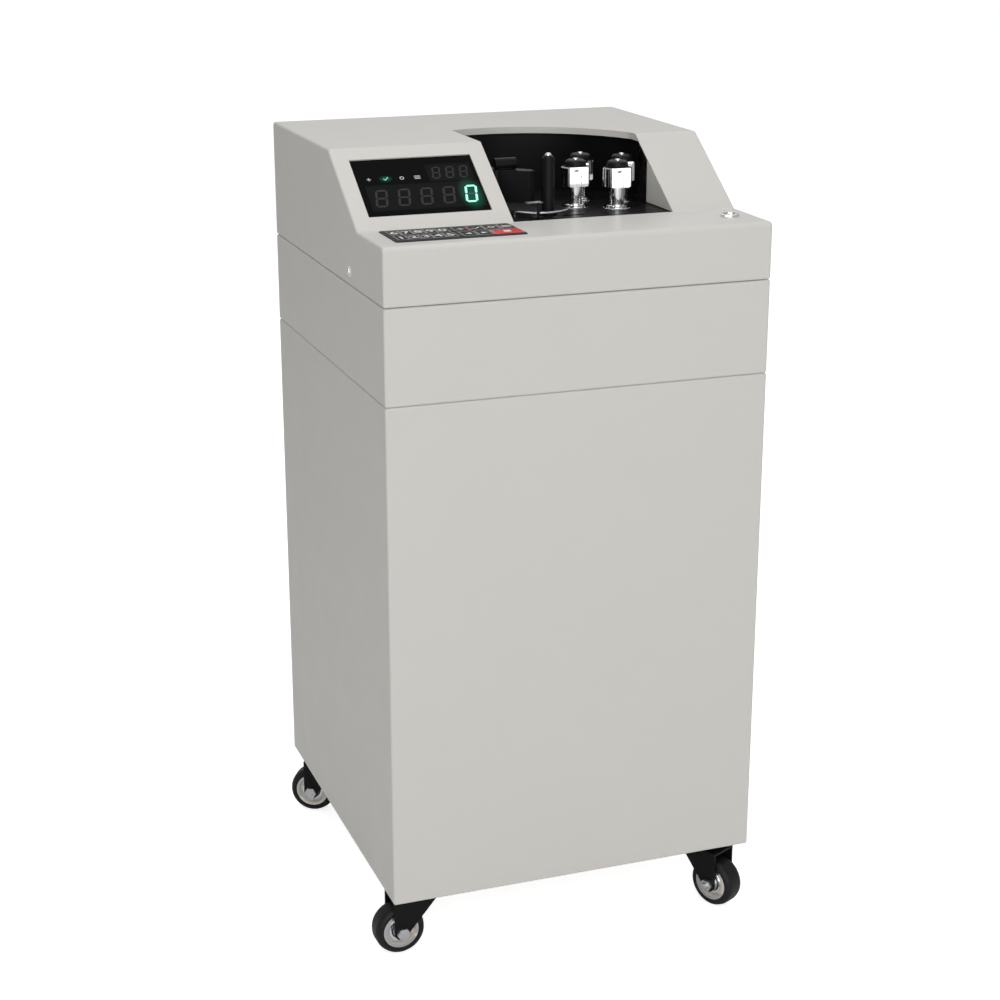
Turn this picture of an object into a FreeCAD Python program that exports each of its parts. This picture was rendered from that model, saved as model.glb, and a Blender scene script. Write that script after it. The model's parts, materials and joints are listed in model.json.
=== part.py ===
import FreeCAD, Part
import math
import os

V = FreeCAD.Vector

# Case, in millimetres, with the front facing -Y and the floor at zero
case_width = 420.0
case_depth = 430.0
cabinet_height = 552.0
band_height = 100.0
lid_front_height = 60.0
lid_rise = 69.0
ledge_depth = 89.0
slant_run = 103.0
sheet = 1.5
plate = 3.0
edge_radius = 2.5
bend_radius = 5.0
lip_width = 15.0
foot_lip_width = 8.0
lid_lip_width = 10.0
rear_frame = 26.0
rear_overlap = 10.0
tray_rim = 14.0
louvre_rows = 7
louvre_width = 120.0
louvre_height = 9.0
louvre_depth = 5.0
louvre_pitch = 22.0
louvre_spacing = 144.0
louvre_drop = 60.0

# Clearances
fit = 0.3
running = 0.05
lid_gap = 0.4
table_front_gap = 2.0

# Screws
screw_radius = 2.0
screw_head_radius = 4.0
screw_head_height = 2.2
deck_screw_inset = 18.0
deck_screw_pitch = 114.0
passage_width = 40.0
passage_length = 80.0
passage_inset = 20.0
caster_bolt_radius = 3.0
caster_bolt_inset = 8.0
caster_bolt_across = 9.0

# Casters
caster_height = 76.5
wheel_radius = 28.0
wheel_width = 26.0
tyre_depth = 8.0
tyre_lip = 1.0
shoulder_drop = 5.0
shoulder_width = 3.0
crown_drop = 1.2
crown_width = 7.0
rim_ring = 3.0
rim_slope = 1.0
hub_radius = 9.0
wheel_dish = 5.0
axle_radius = 4.0
axle_across = 13.0
axle_nut_height = 5.0
axle_thread = 3.0
caster_trail = 28.0
caster_inset_x = 43.0
caster_inset_y = 39.0
caster_plate_size = 62.0
caster_plate_thickness = 2.5
race_radius = 20.0
race_height = 5.0
crown_thickness = 3.0
fork_wall = 2.5
fork_side_gap = 1.5
fork_end_radius = 9.0
fork_back_reach = 16.0
king_pin_radius = 5.0
king_head_width = 3.0
king_head_height = 2.5
caster_turns = {"front_left": 182.0, "front_right": 297.0, "rear_left": 150.0, "rear_right": 30.0}

# Well in the lid
display_gap = 17.5
well_width = 179.5
well_left_reach = 200.0
well_right_reach = 114.0
well_arc_radius = 150.0
lip_drop = 7.0
cheek_length = 70.0
cheek_curve = 15.0

# Display, keypad, lock and screws on the lid
display_margin = 18.0
display_width = 132.5
display_height = 86.0
display_up = 20.0
window_overlap = 4.0
window_thickness = 2.5
digit_depth = 8.0
digit_count = 5
digit_width = 24.0
digit_height = 34.0
digit_pitch = 24.3
digit_left = 10.0
digit_up = 10.7
small_digit_count = 3
small_digit_width = 15.0
small_digit_height = 25.0
small_digit_pitch = 15.1
small_digit_left = 81.5
small_digit_up = 49.0
board_post_radius = 2.5
board_post_inset = 4.0
keypad_margin = 20.5
keypad_width = 138.0
keypad_depth = 62.0
keypad_front = 21.0
keypad_thickness = 0.8
key_rise = 0.4
key_width = 13.0
key_depth = 23.0
key_pitch = 15.0
key_row_front = 6.5
key_row_back = 32.5
number_columns = 5
number_left = 5.0
function_columns = 4
function_left = 80.0
lock_inset_x = 28.0
lock_inset_y = 45.0
bezel_radius = 10.5
barrel_radius = 8.0
plug_radius = 5.5
barrel_length = 22.0
lock_nut_across = 22.0
lock_nut_height = 5.0
keyway_width = 1.6
keyway_length = 7.0
cam_length = 13.5
cam_thickness = 2.5
side_screw_back = 119.0
side_screw_up = 14.5

# Lid hinge
hinge_inset = 70.0
hinge_width = 40.0
hinge_leaf = 2.0
hinge_leaf_height = 24.0
knuckle_radius = 3.5
hinge_pin_radius = 2.0
knuckle_share = 13.0

# Counting head
table_drop = 1.0
table_thickness = 4.0
table_margin = 8.0
turret_from_right = 51.0
turret_back = 84.0
turret_radius = 50.0
turret_thickness = 12.0
spindle_circle = 32.0
spindle_first_angle = 16.5
spindle_count = 4
spindle_shaft_radius = 6.0
collar_radius = 11.0
collar_height = 3.0
stem_radius = 7.5
stem_height = 19.0
head_radius = 15.5
head_height = 21.0
head_flat = 11.3
cap_radius = 11.5
cap_height = 7.0
mouth_drop = 5.0
mouth_width = 13.0
mouth_height = 2.6
mouth_depth = 3.5
suction_hole_radius = 0.9
suction_hole_shift = 2.5
suction_hole_count = 5
suction_hole_pitch = 3.0
turret_shaft_radius = 10.0
sleeve_radius = 25.0
flange_radius = 45.0
flange_height = 8.0
gear_module = 2.0
sun_teeth = 16
planet_teeth = 16
gear_width = 10.0
gear_play = 0.4
pressure_angle = 20.0
pillar_radius = 7.0
shroud_gap = 12.0

# Drive, below the deck
pulley_width = 14.0
turret_pulley_radius = 30.0
motor_pulley_radius = 15.0
belt_thickness = 2.0
belt_width = 10.0
motor_offset_x = -110.0
motor_offset_y = 95.0
motor_radius = 42.0
motor_length = 90.0
motor_shaft_radius = 5.0
drive_drop = 24.0
union_size = 40.0
union_height = 28.0

# Note handling parts on the table
post_x = -76.0
post_back = 39.0
post_radius = 6.75
post_height = 62.0
clamp_x = -117.0
clamp_back = 88.0
clamp_shaft_radius = 5.0
clamp_lift = 9.0
clamp_height = 46.0
clamp_reach = 30.0
clamp_depth = 30.0
roller_radius = 6.0
roller_length = 24.0
solenoid_radius = 20.0
solenoid_height = 45.0
wire_radius = 1.25
wire_lift = 5.0
wire_bend = 4.0
wire_heading = 56.0
wire_left = 38.0
wire_front = 2.0
wire_right = 27.0
wire_back = 14.0

# Equipment in the cabinet
mount_radius = 11.0
mount_height = 15.0
pump_shift_x = -45.0
pump_shift_y = 25.0
foot_length = 150.0
foot_width = 124.0
foot_thickness = 6.0
pump_motor_radius = 60.0
pump_motor_length = 170.0
pump_axis_rise = 68.0
fin_count = 6
fin_height = 4.0
fin_width = 7.0
fin_margin = 20.0
pump_radius = 52.0
pump_length = 84.0
port_radius = 6.0
port_length = 24.0
muffler_radius = 17.0
muffler_height = 42.0
filter_radius = 30.0
filter_height = 120.0
filter_inset_x = 55.0
filter_inset_y = 90.0
filter_port_spacing = 26.0
hose_wall = 2.5
hose_grip = 14.0
hose_bend = 30.0
supply_length = 120.0
supply_width = 100.0
supply_height = 62.0
supply_inset_x = 80.0
supply_inset_y = 24.0
board_length = 150.0
board_height = 120.0
board_thickness = 1.6
board_standoff = 10.0
board_blocks = [(-40, 20, 44, 30, 14), (20, 25, 30, 30, 4), (30, -30, 60, 12, 10), (-40, -30, 24, 24, 18)]

# Power inlet and rocker on the rear panel
inlet_width = 50.0
inlet_height = 66.0
inlet_flange = 3.0
inlet_depth = 28.0
inlet_body_margin = 5.0
inlet_inset_x = 95.0
inlet_up = 95.0
socket_width = 25.0
socket_height = 17.0
socket_depth = 17.0
pin_count = 3
pin_pitch = 7.0
pin_recess = 7.0
rocker_radius = 8.5
rocker_width = 20.0
rocker_tilt = 8.0

# Levels and edges that follow from the sizes above
side_x = case_width / 2
front_y = -case_depth / 2
back_y = case_depth / 2
tray_z = caster_height
case_z = tray_z - sheet
cabinet_top = case_z + cabinet_height
band_top = cabinet_top + band_height
lid_z = band_top + lid_gap
ledge_z = lid_z + lid_front_height
roof_z = ledge_z + lid_rise
bend_y = front_y + ledge_depth
roof_y = bend_y + slant_run
slant_angle = math.degrees(math.atan2(lid_rise, slant_run))
mitre = math.tan(math.radians(slant_angle) / 2)
tray_top = tray_z + plate
deck_z = cabinet_top + sheet
deck_top = deck_z + plate
table_top = ledge_z - table_drop
table_z = table_top - table_thickness
well_left = -side_x + display_margin + display_width + display_gap
well_right = well_left + well_width
turret_x = well_right - turret_from_right
turret_y = bend_y + turret_back
lock_x = side_x - lock_inset_x
lock_y = front_y + lock_inset_y
gear_z = table_top - turret_thickness - 2 * gear_width
motor_x = turret_x + motor_offset_x
motor_y = turret_y + motor_offset_y
pulley_z = deck_z - drive_drop
hinge_y = back_y + knuckle_radius + fit


def box(x0, x1, y0, y1, z0, z1):
    return Part.makeBox(x1 - x0, y1 - y0, z1 - z0, V(x0, y0, z0))


def upright(radius, x, y, z0, z1):
    return Part.makeCylinder(radius, z1 - z0, V(x, y, z0))


def along_x(radius, x0, x1, y, z):
    return Part.makeCylinder(radius, x1 - x0, V(x0, y, z), V(1, 0, 0))


def along_y(radius, x, y0, y1, z):
    return Part.makeCylinder(radius, y1 - y0, V(x, y0, z), V(0, 1, 0))


def prism(points, direction):
    return Part.Face(Part.makePolygon(points + points[:1])).extrude(direction)


def side_prism(outline, x0, x1):
    return prism([V(x0, y, z) for y, z in outline], V(x1 - x0, 0, 0))


def turned(outline, x=0.0, y=0.0):
    points = [V(x + radius, y, z) for radius, z in outline]
    face = Part.Face(Part.makePolygon(points + points[:1]))
    return face.revolve(V(x, y, 0), V(0, 0, 1), 360)


def hexagon(across, x, y, z0, z1):
    corner = across / math.sqrt(3)
    turns = [math.radians(60 * k) for k in range(6)]
    points = [V(x + corner * math.cos(turn), y + corner * math.sin(turn), z0) for turn in turns]
    return prism(points, V(0, 0, z1 - z0))


def soften_uprights(shape, radius):
    edges = [edge for edge in shape.Edges if abs(edge.tangentAt(edge.FirstParameter).z) > 0.9]
    return shape.makeFillet(radius, edges)


def on_slant(shape):
    shape.rotate(V(0, 0, 0), V(1, 0, 0), slant_angle)
    shape.translate(V(0, bend_y, ledge_z))
    return shape


def save(name, *shapes):
    whole = shapes[0] if len(shapes) == 1 else Part.makeCompound(list(shapes))
    whole.exportStep(os.path.join("parts", name + ".step"))


def sheet_frame(z0, z1, foot_lip, top_lip):
    # four bent walls with lips turned in at the foot and at the top
    body = box(-side_x, side_x, front_y, back_y, z0, z1)
    body = body.makeFillet(edge_radius, body.Edges)
    inner = box(-side_x + sheet, side_x - sheet, front_y + sheet, back_y - sheet, z0 + sheet, z1 - sheet)
    foot = box(-side_x + foot_lip, side_x - foot_lip, front_y + foot_lip, back_y - foot_lip,
               z0 - 1, z0 + 2 * sheet)
    top = box(-side_x + top_lip, side_x - top_lip, front_y + top_lip, back_y - top_lip,
              z1 - 2 * sheet, z1 + 1)
    return body.cut(inner).cut(foot).cut(top)


def rear_screw_places():
    x = side_x - rear_frame + rear_overlap / 2
    low = case_z + rear_frame - rear_overlap / 2
    high = cabinet_top - rear_frame + rear_overlap / 2
    return [(sign * x, z) for sign in (-1, 1) for z in (low, (low + high) / 2, high)]


def deck_screw_places():
    x = side_x - lip_width / 2
    end = back_y - deck_screw_inset
    return [(sx * x, sy * y) for sx in (-1, 1) for sy in (-1, 1) for y in (end, end - deck_screw_pitch)]


def make_cabinet():
    shell = sheet_frame(case_z, cabinet_top, foot_lip_width, lip_width)
    window = box(-side_x + rear_frame, side_x - rear_frame, back_y - 2 * sheet, back_y + 1,
                 case_z + rear_frame, cabinet_top - rear_frame)
    shell = shell.cut(window)
    for x, z in rear_screw_places():
        shell = shell.cut(along_y(screw_radius, x, back_y - 2 * sheet, back_y + 1, z))
    for x, y in deck_screw_places():
        shell = shell.cut(upright(screw_radius, x, y, cabinet_top - 2 * sheet, cabinet_top + 1))
    save("cabinet_shell", shell)


def make_base_tray():
    reach_x = side_x - sheet - fit
    reach_y = back_y - sheet - fit
    tray = box(-reach_x, reach_x, -reach_y, reach_y, tray_z, tray_z + tray_rim)
    tray = tray.cut(box(-reach_x + sheet, reach_x - sheet, -reach_y + sheet, reach_y - sheet,
                        tray_top, tray_z + tray_rim + 1))
    for x, y in caster_places().values():
        for bolt_x, bolt_y in caster_bolt_places(x, y):
            tray = tray.cut(upright(caster_bolt_radius, bolt_x, bolt_y, tray_z - 1, tray_top + 1))
    save("base_tray", tray)


def inlet_place():
    return -side_x + inlet_inset_x, case_z + inlet_up


def louvre(x, z):
    # slanted hood open at its lower edge, and the slot behind it
    skin = back_y + sheet
    outer = [(skin - sheet / 2, z + louvre_height), (skin, z + louvre_height), (skin + louvre_depth, z),
             (skin - sheet / 2, z)]
    inner = [(skin - sheet, z + louvre_height - 2 * sheet), (skin, z + louvre_height - 2 * sheet),
             (skin + louvre_depth - 1.5 * sheet, z - 1), (skin - sheet, z - 1)]
    hood = side_prism(outer, x - louvre_width / 2, x + louvre_width / 2)
    hollow = side_prism(inner, x - louvre_width / 2 + sheet, x + louvre_width / 2 - sheet)
    slot = box(x - louvre_width / 2 + sheet, x + louvre_width / 2 - sheet, back_y - 1, skin,
               z, z + louvre_height - 2 * sheet)
    return hood, hollow, slot


def make_rear_panel():
    reach_x = side_x - rear_frame + rear_overlap
    low = case_z + rear_frame - rear_overlap
    high = cabinet_top - rear_frame + rear_overlap
    panel = box(-reach_x, reach_x, back_y, back_y + sheet, low, high)
    x, z = inlet_place()
    half_x = inlet_width / 2 - inlet_body_margin
    half_z = inlet_height / 2 - inlet_body_margin
    panel = panel.cut(box(x - half_x, x + half_x, back_y - 1, back_y + sheet + 1, z - half_z, z + half_z))
    for screw_x, screw_z in rear_screw_places():
        panel = panel.cut(along_y(screw_radius, screw_x, back_y - 1, back_y + sheet + 1, screw_z))
    for column in (-1, 1):
        for row in range(louvre_rows):
            place_z = high - louvre_drop - row * louvre_pitch
            hood, hollow, slot = louvre(column * louvre_spacing / 2, place_z)
            panel = panel.fuse(hood).cut(hollow).cut(slot)
    save("rear_panel", panel.removeSplitter())


def make_band():
    band = sheet_frame(cabinet_top, band_top, lip_width, lip_width)
    for x, y in deck_screw_places():
        band = band.cut(upright(screw_radius, x, y, cabinet_top - 1, cabinet_top + 2 * sheet))
    # keeper for the lock cam, standing on the upper lip
    inner = side_x - lid_lip_width - 1.0
    hook_z = cam_z() + cam_thickness + fit
    stem = box(inner - 2.0, inner, lock_y - 14, lock_y + 14, band_top - sheet, hook_z + 2.0)
    hook = box(lock_x + barrel_radius + 1.0, inner, lock_y - 14, lock_y + 14, hook_z, hook_z + 2.0)
    save("band_frame", band.fuse([stem, hook]).removeSplitter())


def pillar_places():
    left = well_left - table_margin + 2 * pillar_radius
    right = well_right + table_margin - pillar_radius - 1
    front = bend_y + table_front_gap + pillar_radius + 2
    back = table_back() - pillar_radius - 4
    return [(left, front), (right, front), (left, back), (right, back)]


def table_back():
    return bend_y + well_left_reach + shroud_gap + 4 * sheet


def make_deck():
    reach_x = side_x - sheet - fit
    reach_y = back_y - sheet - fit
    deck = box(-reach_x, reach_x, -reach_y, reach_y, deck_z, deck_top)
    deck = deck.cut(upright(turret_shaft_radius + 2, turret_x, turret_y, deck_z - 1, deck_top + 1))
    for x, y in deck_screw_places():
        deck = deck.cut(upright(screw_radius, x, y, deck_z - 1, deck_top + 1))
    # passage for the wires between the control board and the lid
    passage_x = -side_x + passage_inset
    deck = deck.cut(box(passage_x, passage_x + passage_width, -passage_length / 2, passage_length / 2,
                        deck_z - 1, deck_top + 1))
    save("deck_plate", deck)


def well_centre():
    # centre of the arc that joins the left and the right end of the cut-out
    left = V(well_left, bend_y + well_left_reach, 0)
    right = V(well_right, bend_y + well_right_reach, 0)
    middle = (left + right) * 0.5
    chord = right - left
    across = V(chord.y, -chord.x, 0)
    across.normalize()
    return middle + across * math.sqrt(well_arc_radius ** 2 - (chord.Length / 2) ** 2)


def arc_ends(radius):
    centre = well_centre()
    left = V(well_left, bend_y + well_left_reach, 0) - centre
    right = V(well_right, bend_y + well_right_reach, 0) - centre
    middle = left + right
    return [centre + side.normalize() * radius for side in (left, middle, right)]


def well_plan(z):
    left, middle, right = arc_ends(well_arc_radius)
    start = V(well_left, bend_y, 0)
    end = V(well_right, bend_y, 0)
    wire = Part.Wire([Part.LineSegment(start, end).toShape(), Part.LineSegment(end, right).toShape(),
                      Part.Arc(right, middle, left).toShape(), Part.LineSegment(left, start).toShape()])
    wire.translate(V(0, 0, z))
    return Part.Face(wire)


def arc_wall(radius, wall, z0, z1):
    inner = arc_ends(radius)
    outer = arc_ends(radius + wall)
    wire = Part.Wire([Part.Arc(*inner).toShape(), Part.LineSegment(inner[2], outer[2]).toShape(),
                      Part.Arc(*reversed(outer)).toShape(), Part.LineSegment(outer[0], inner[0]).toShape()])
    wire.translate(V(0, 0, z0))
    return Part.Face(wire).extrude(V(0, 0, z1 - z0))


def lid_outline(inset, z0):
    return [(front_y + inset, z0), (front_y + inset, ledge_z - inset),
            (bend_y + inset * mitre, ledge_z - inset), (roof_y + inset * mitre, roof_z - inset),
            (back_y - inset, roof_z - inset), (back_y - inset, z0)]


def cheek(x0, x1, end_y):
    # side wall of the well, full height in front and a narrow lip under the roof
    foot = ledge_z
    back = bend_y + cheek_length
    lip_z = roof_z - lip_drop
    half = sheet / 2
    points = [V(x0, bend_y, foot), V(x0, back, foot), V(x0, back, lip_z - cheek_curve)]
    bow = cheek_curve * (1 - math.cos(math.radians(45)))
    curve = Part.Arc(points[2], V(x0, back + bow, lip_z - bow), V(x0, back + cheek_curve, lip_z))
    rest = [V(x0, back + cheek_curve, lip_z), V(x0, end_y, lip_z), V(x0, end_y, roof_z - half),
            V(x0, roof_y + half * mitre, roof_z - half), V(x0, bend_y + half * mitre, ledge_z - half),
            points[0]]
    edges = [Part.LineSegment(a, b).toShape() for a, b in zip(points, points[1:])]
    edges.append(curve.toShape())
    edges += [Part.LineSegment(a, b).toShape() for a, b in zip(rest, rest[1:])]
    return Part.Face(Part.Wire(edges)).extrude(V(x1 - x0, 0, 0))


def display_box(grow, z0, z1):
    left = -side_x + display_margin
    return on_slant(box(left - grow, left + display_width + grow, display_up - grow,
                        display_up + display_height + grow, z0, z1))


def make_lid_shell():
    body = side_prism(lid_outline(0, lid_z), -side_x, side_x)
    bends = [edge for edge in body.Edges if abs(edge.tangentAt(edge.FirstParameter).x) > 0.9
             and edge.CenterOfMass.z > lid_z + 1]
    body = body.makeFillet(bend_radius, bends)
    rims = [edge for edge in body.Edges if abs(edge.tangentAt(edge.FirstParameter).x) < 0.1
            or edge.CenterOfMass.z < lid_z + 1]
    body = body.makeFillet(edge_radius, rims)
    hollow = side_prism(lid_outline(sheet, lid_z + sheet), -side_x + sheet, side_x - sheet)
    mouth = box(-side_x + lid_lip_width, side_x - lid_lip_width,
                front_y + lid_lip_width, back_y - lid_lip_width, lid_z - 1, lid_z + 2 * sheet)
    well = well_plan(ledge_z - 2 * sheet).extrude(V(0, 0, lid_rise + 4 * sheet))
    shell = body.cut(hollow).cut(mouth).cut(well)
    shell = shell.cut(display_box(0, -2 * sheet, 2 * sheet))
    shell = shell.cut(upright(barrel_radius, lock_x, lock_y, ledge_z - 2 * sheet, ledge_z + 1))
    for sign in (-1, 1):
        y, z = side_screw_place()
        shell = shell.cut(along_x(screw_radius, sign * side_x - 3, sign * side_x + 3, y, z))
    left, middle, right = arc_ends(well_arc_radius)
    rim = arc_wall(well_arc_radius, sheet, roof_z - lip_drop, roof_z - sheet / 2)
    cheeks = [cheek(well_right, well_right + sheet, right.y + 2 * sheet),
              cheek(well_left - sheet, well_left, left.y + 2 * sheet)]
    save("lid_shell", shell.fuse([rim] + cheeks).removeSplitter())


def side_screw_place():
    return front_y + side_screw_back, lid_z + side_screw_up


def make_display():
    back = -sheet - window_thickness
    save("display_window", display_box(window_overlap, back, -sheet))
    left = -side_x + display_margin
    low = back - digit_depth
    digits = []
    for index in range(digit_count):
        x = left + digit_left + index * digit_pitch
        up = display_up + digit_up
        digits.append(on_slant(box(x, x + digit_width, up, up + digit_height, low, back)))
    for index in range(small_digit_count):
        x = left + small_digit_left + index * small_digit_pitch
        up = display_up + small_digit_up
        digits.append(on_slant(box(x, x + small_digit_width, up, up + small_digit_height, low, back)))
    board = display_box(2.0, low - board_thickness, low)
    posts = []
    for x in (left + board_post_inset, left + display_width - board_post_inset):
        for up in (display_up + board_post_inset, display_up + display_height - board_post_inset):
            posts.append(on_slant(Part.makeCylinder(board_post_radius, digit_depth, V(x, up, low))))
    save("display_board", board, *(digits + posts))


def make_keypad():
    left = -side_x + keypad_margin
    front = front_y + keypad_front
    film = box(left, left + keypad_width, front, front + keypad_depth, ledge_z, ledge_z + keypad_thickness)
    film = soften_uprights(film, 3.0)
    top = ledge_z + keypad_thickness
    for x, y, width, depth in key_places(left, front):
        film = film.fuse(box(x, x + width, y, y + depth, top, top + key_rise))
    save("keypad", film.removeSplitter())


def key_places(left, front):
    keys = []
    for row in (key_row_front, key_row_back):
        for column in range(number_columns):
            keys.append((left + number_left + column * key_pitch, front + row, key_width, key_depth))
    for column in range(function_columns):
        x = left + function_left + column * key_pitch
        keys.append((x, front + key_row_back, key_width, key_depth))
        if column < function_columns - 2:
            keys.append((x, front + key_row_front, key_width, key_depth))
    reset_x = left + function_left + (function_columns - 2) * key_pitch
    keys.append((reset_x, front + key_row_front, key_pitch + key_width, key_depth))
    return keys


def cam_z():
    return ledge_z - barrel_length - fit - cam_thickness


def make_lock():
    foot = ledge_z - barrel_length
    bezel = turned([(barrel_radius, ledge_z), (bezel_radius, ledge_z), (bezel_radius, ledge_z + 1.2),
                    (bezel_radius - 2.0, ledge_z + 3.0), (plug_radius + 1.8, ledge_z + 3.0),
                    (plug_radius + 1.0, ledge_z + 2.0), (plug_radius + running, ledge_z + 2.0),
                    (plug_radius + running, foot), (barrel_radius, foot)], lock_x, lock_y)
    nut_z = ledge_z - sheet
    nut = hexagon(lock_nut_across, lock_x, lock_y, nut_z - lock_nut_height, nut_z)
    nut = nut.cut(upright(barrel_radius, lock_x, lock_y, nut_z - lock_nut_height - 1, nut_z + 1))
    save("lock_body", bezel, nut)
    plug = upright(plug_radius, lock_x, lock_y, foot - fit, ledge_z + 1.8)
    plug = plug.cut(box(lock_x - keyway_width / 2, lock_x + keyway_width / 2, lock_y - keyway_length / 2,
                        lock_y + keyway_length / 2, ledge_z - 4, ledge_z + 2))
    cam = box(lock_x - plug_radius, lock_x + plug_radius, lock_y - plug_radius, lock_y + cam_length,
              cam_z(), cam_z() + cam_thickness)
    save("lock_plug", plug.fuse(soften_uprights(cam, 4.0)).removeSplitter())


def make_lid_screws():
    y, z = side_screw_place()
    screws = []
    for sign in (-1, 1):
        washer = Part.makeCone(6.0, 4.5, 1.4, V(sign * side_x, y, z), V(sign, 0, 0))
        head = Part.makeCylinder(3.6, 2.0, V(sign * side_x, y, z), V(sign, 0, 0))
        shank = Part.makeCylinder(screw_radius, 8.0, V(sign * (side_x - 8.0), y, z), V(sign, 0, 0))
        nut = Part.makeCylinder(4.0, 3.0, V(sign * (side_x - sheet), y, z), V(-sign, 0, 0))
        screws.append(washer.fuse([head, shank, nut]).removeSplitter())
    save("lid_screws", *screws)


def hinge_places():
    return [-side_x + hinge_inset, side_x - hinge_inset]


def make_hinges():
    band_leaves = []
    lid_leaves = []
    half = hinge_width / 2
    clear = knuckle_radius + 1.5
    for x in hinge_places():
        leaf = box(x - half, x + half, back_y, back_y + hinge_leaf, lid_z - hinge_leaf_height, lid_z)
        leaf = leaf.cut(box(x - half + knuckle_share, x + half - knuckle_share,
                            back_y - 1, back_y + hinge_leaf + 1, lid_z - clear, lid_z + 1))
        knuckles = [along_x(knuckle_radius, x - half, x - half + knuckle_share, hinge_y, lid_z),
                    along_x(knuckle_radius, x + half - knuckle_share, x + half, hinge_y, lid_z)]
        pin = along_x(hinge_pin_radius, x - half, x + half, hinge_y, lid_z)
        leaf = leaf.cut(box(x - half - 1, x + half + 1, back_y - 1, back_y + fit, lid_z - fit, lid_z + 1))
        band_leaves.append(leaf.fuse(knuckles + [pin]).removeSplitter())
        middle = [x - half + knuckle_share + fit, x + half - knuckle_share - fit]
        flap = box(x - half, x + half, back_y, back_y + hinge_leaf,
                   lid_z + clear, lid_z + hinge_leaf_height)
        neck = box(middle[0], middle[1], back_y, back_y + hinge_leaf, lid_z, lid_z + clear)
        knuckle = along_x(knuckle_radius, middle[0], middle[1], hinge_y, lid_z)
        bore = along_x(hinge_pin_radius + running, middle[0] - 1, middle[1] + 1, hinge_y, lid_z)
        lid_leaves.append(flap.fuse([neck, knuckle]).cut(bore).removeSplitter())
    save("band_hinge_leaves", *band_leaves)
    save("lid_hinge_leaves", *lid_leaves)


def make_table():
    right = well_right + table_margin
    left = well_left - table_margin
    table = box(left, right, bend_y + table_front_gap, table_back(), table_z, table_top)
    table = table.cut(upright(turret_radius + fit, turret_x, turret_y, table_z - 1, table_top + 1))
    slot_x = turret_x - turret_radius - 2.0
    slot = box(slot_x - 12, slot_x + 12, bend_y + 22, bend_y + 27, table_z - 1, table_top + 1)
    table = table.cut(soften_uprights(slot, 2.4))
    shaft_x, shaft_y = clamp_axis()
    table = table.cut(upright(clamp_shaft_radius + running, shaft_x, shaft_y, table_z - 1, table_top + 1))
    save("counting_table", table)
    pillars = [upright(pillar_radius, x, y, deck_top, table_z) for x, y in pillar_places()]
    save("table_pillars", *pillars)
    shroud = arc_wall(well_arc_radius + shroud_gap, sheet, table_top, roof_z - lip_drop - 2.0)
    save("back_shroud", shroud)


def spindle_angle(index):
    return math.radians(spindle_first_angle + 360.0 / spindle_count * index)


def spindle_place(index):
    angle = spindle_angle(index)
    return turret_x + spindle_circle * math.cos(angle), turret_y + spindle_circle * math.sin(angle)


def gear(teeth, bore, turn):
    # involute teeth drawn from the base circle, thinned by half the play on each flank
    pitch = gear_module * teeth / 2
    base = pitch * math.cos(math.radians(pressure_angle))
    tip = pitch + gear_module
    root = pitch - 1.25 * gear_module
    roll = math.tan(math.radians(pressure_angle)) - math.radians(pressure_angle)
    half = math.pi / (2 * teeth) - gear_play / (4 * pitch) + roll

    def flank(radius):
        tilt = math.acos(min(1.0, base / radius))
        return half - (math.tan(tilt) - tilt)

    steps = 3
    radii = [base + (tip - base) * step / steps for step in range(steps + 1)]
    points = []
    for tooth in range(teeth):
        middle = turn + 2 * math.pi * tooth / teeth
        left = [(root, middle - half)] + [(radius, middle - flank(radius)) for radius in radii]
        right = [(radius, 2 * middle - angle) for radius, angle in reversed(left)]
        for radius, angle in left + right:
            points.append(V(radius * math.cos(angle), radius * math.sin(angle), 0))
    body = prism(points, V(0, 0, gear_width))
    return body.cut(Part.makeCylinder(bore, gear_width + 2, V(0, 0, -1)))


def make_turret():
    disc = upright(turret_radius, turret_x, turret_y, table_top - turret_thickness, table_top)
    for index in range(spindle_count):
        x, y = spindle_place(index)
        disc = disc.cut(upright(spindle_shaft_radius + running, x, y, gear_z, table_top + 1))
    disc = disc.cut(upright(turret_shaft_radius, turret_x, turret_y, gear_z,
                            table_top - turret_thickness / 2))
    save("turret_disc", disc)
    pulley_top = pulley_z + pulley_width
    shaft = upright(turret_shaft_radius, turret_x, turret_y,
                    pulley_z - fit - 10, table_top - turret_thickness / 2)
    pulley = pulley_body(turret_pulley_radius, turret_shaft_radius, turret_x, turret_y,
                         pulley_z, pulley_top)
    save("turret_shaft", shaft, pulley)


def pulley_body(radius, bore, x, y, z0, z1):
    rim = (z1 - z0 - belt_width - 2 * fit) / 2
    outline = [(bore, z0), (radius + 2, z0), (radius + 2, z0 + rim), (radius, z0 + rim), (radius, z1 - rim),
               (radius + 2, z1 - rim), (radius + 2, z1), (bore, z1)]
    return turned(outline, x, y)


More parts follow.
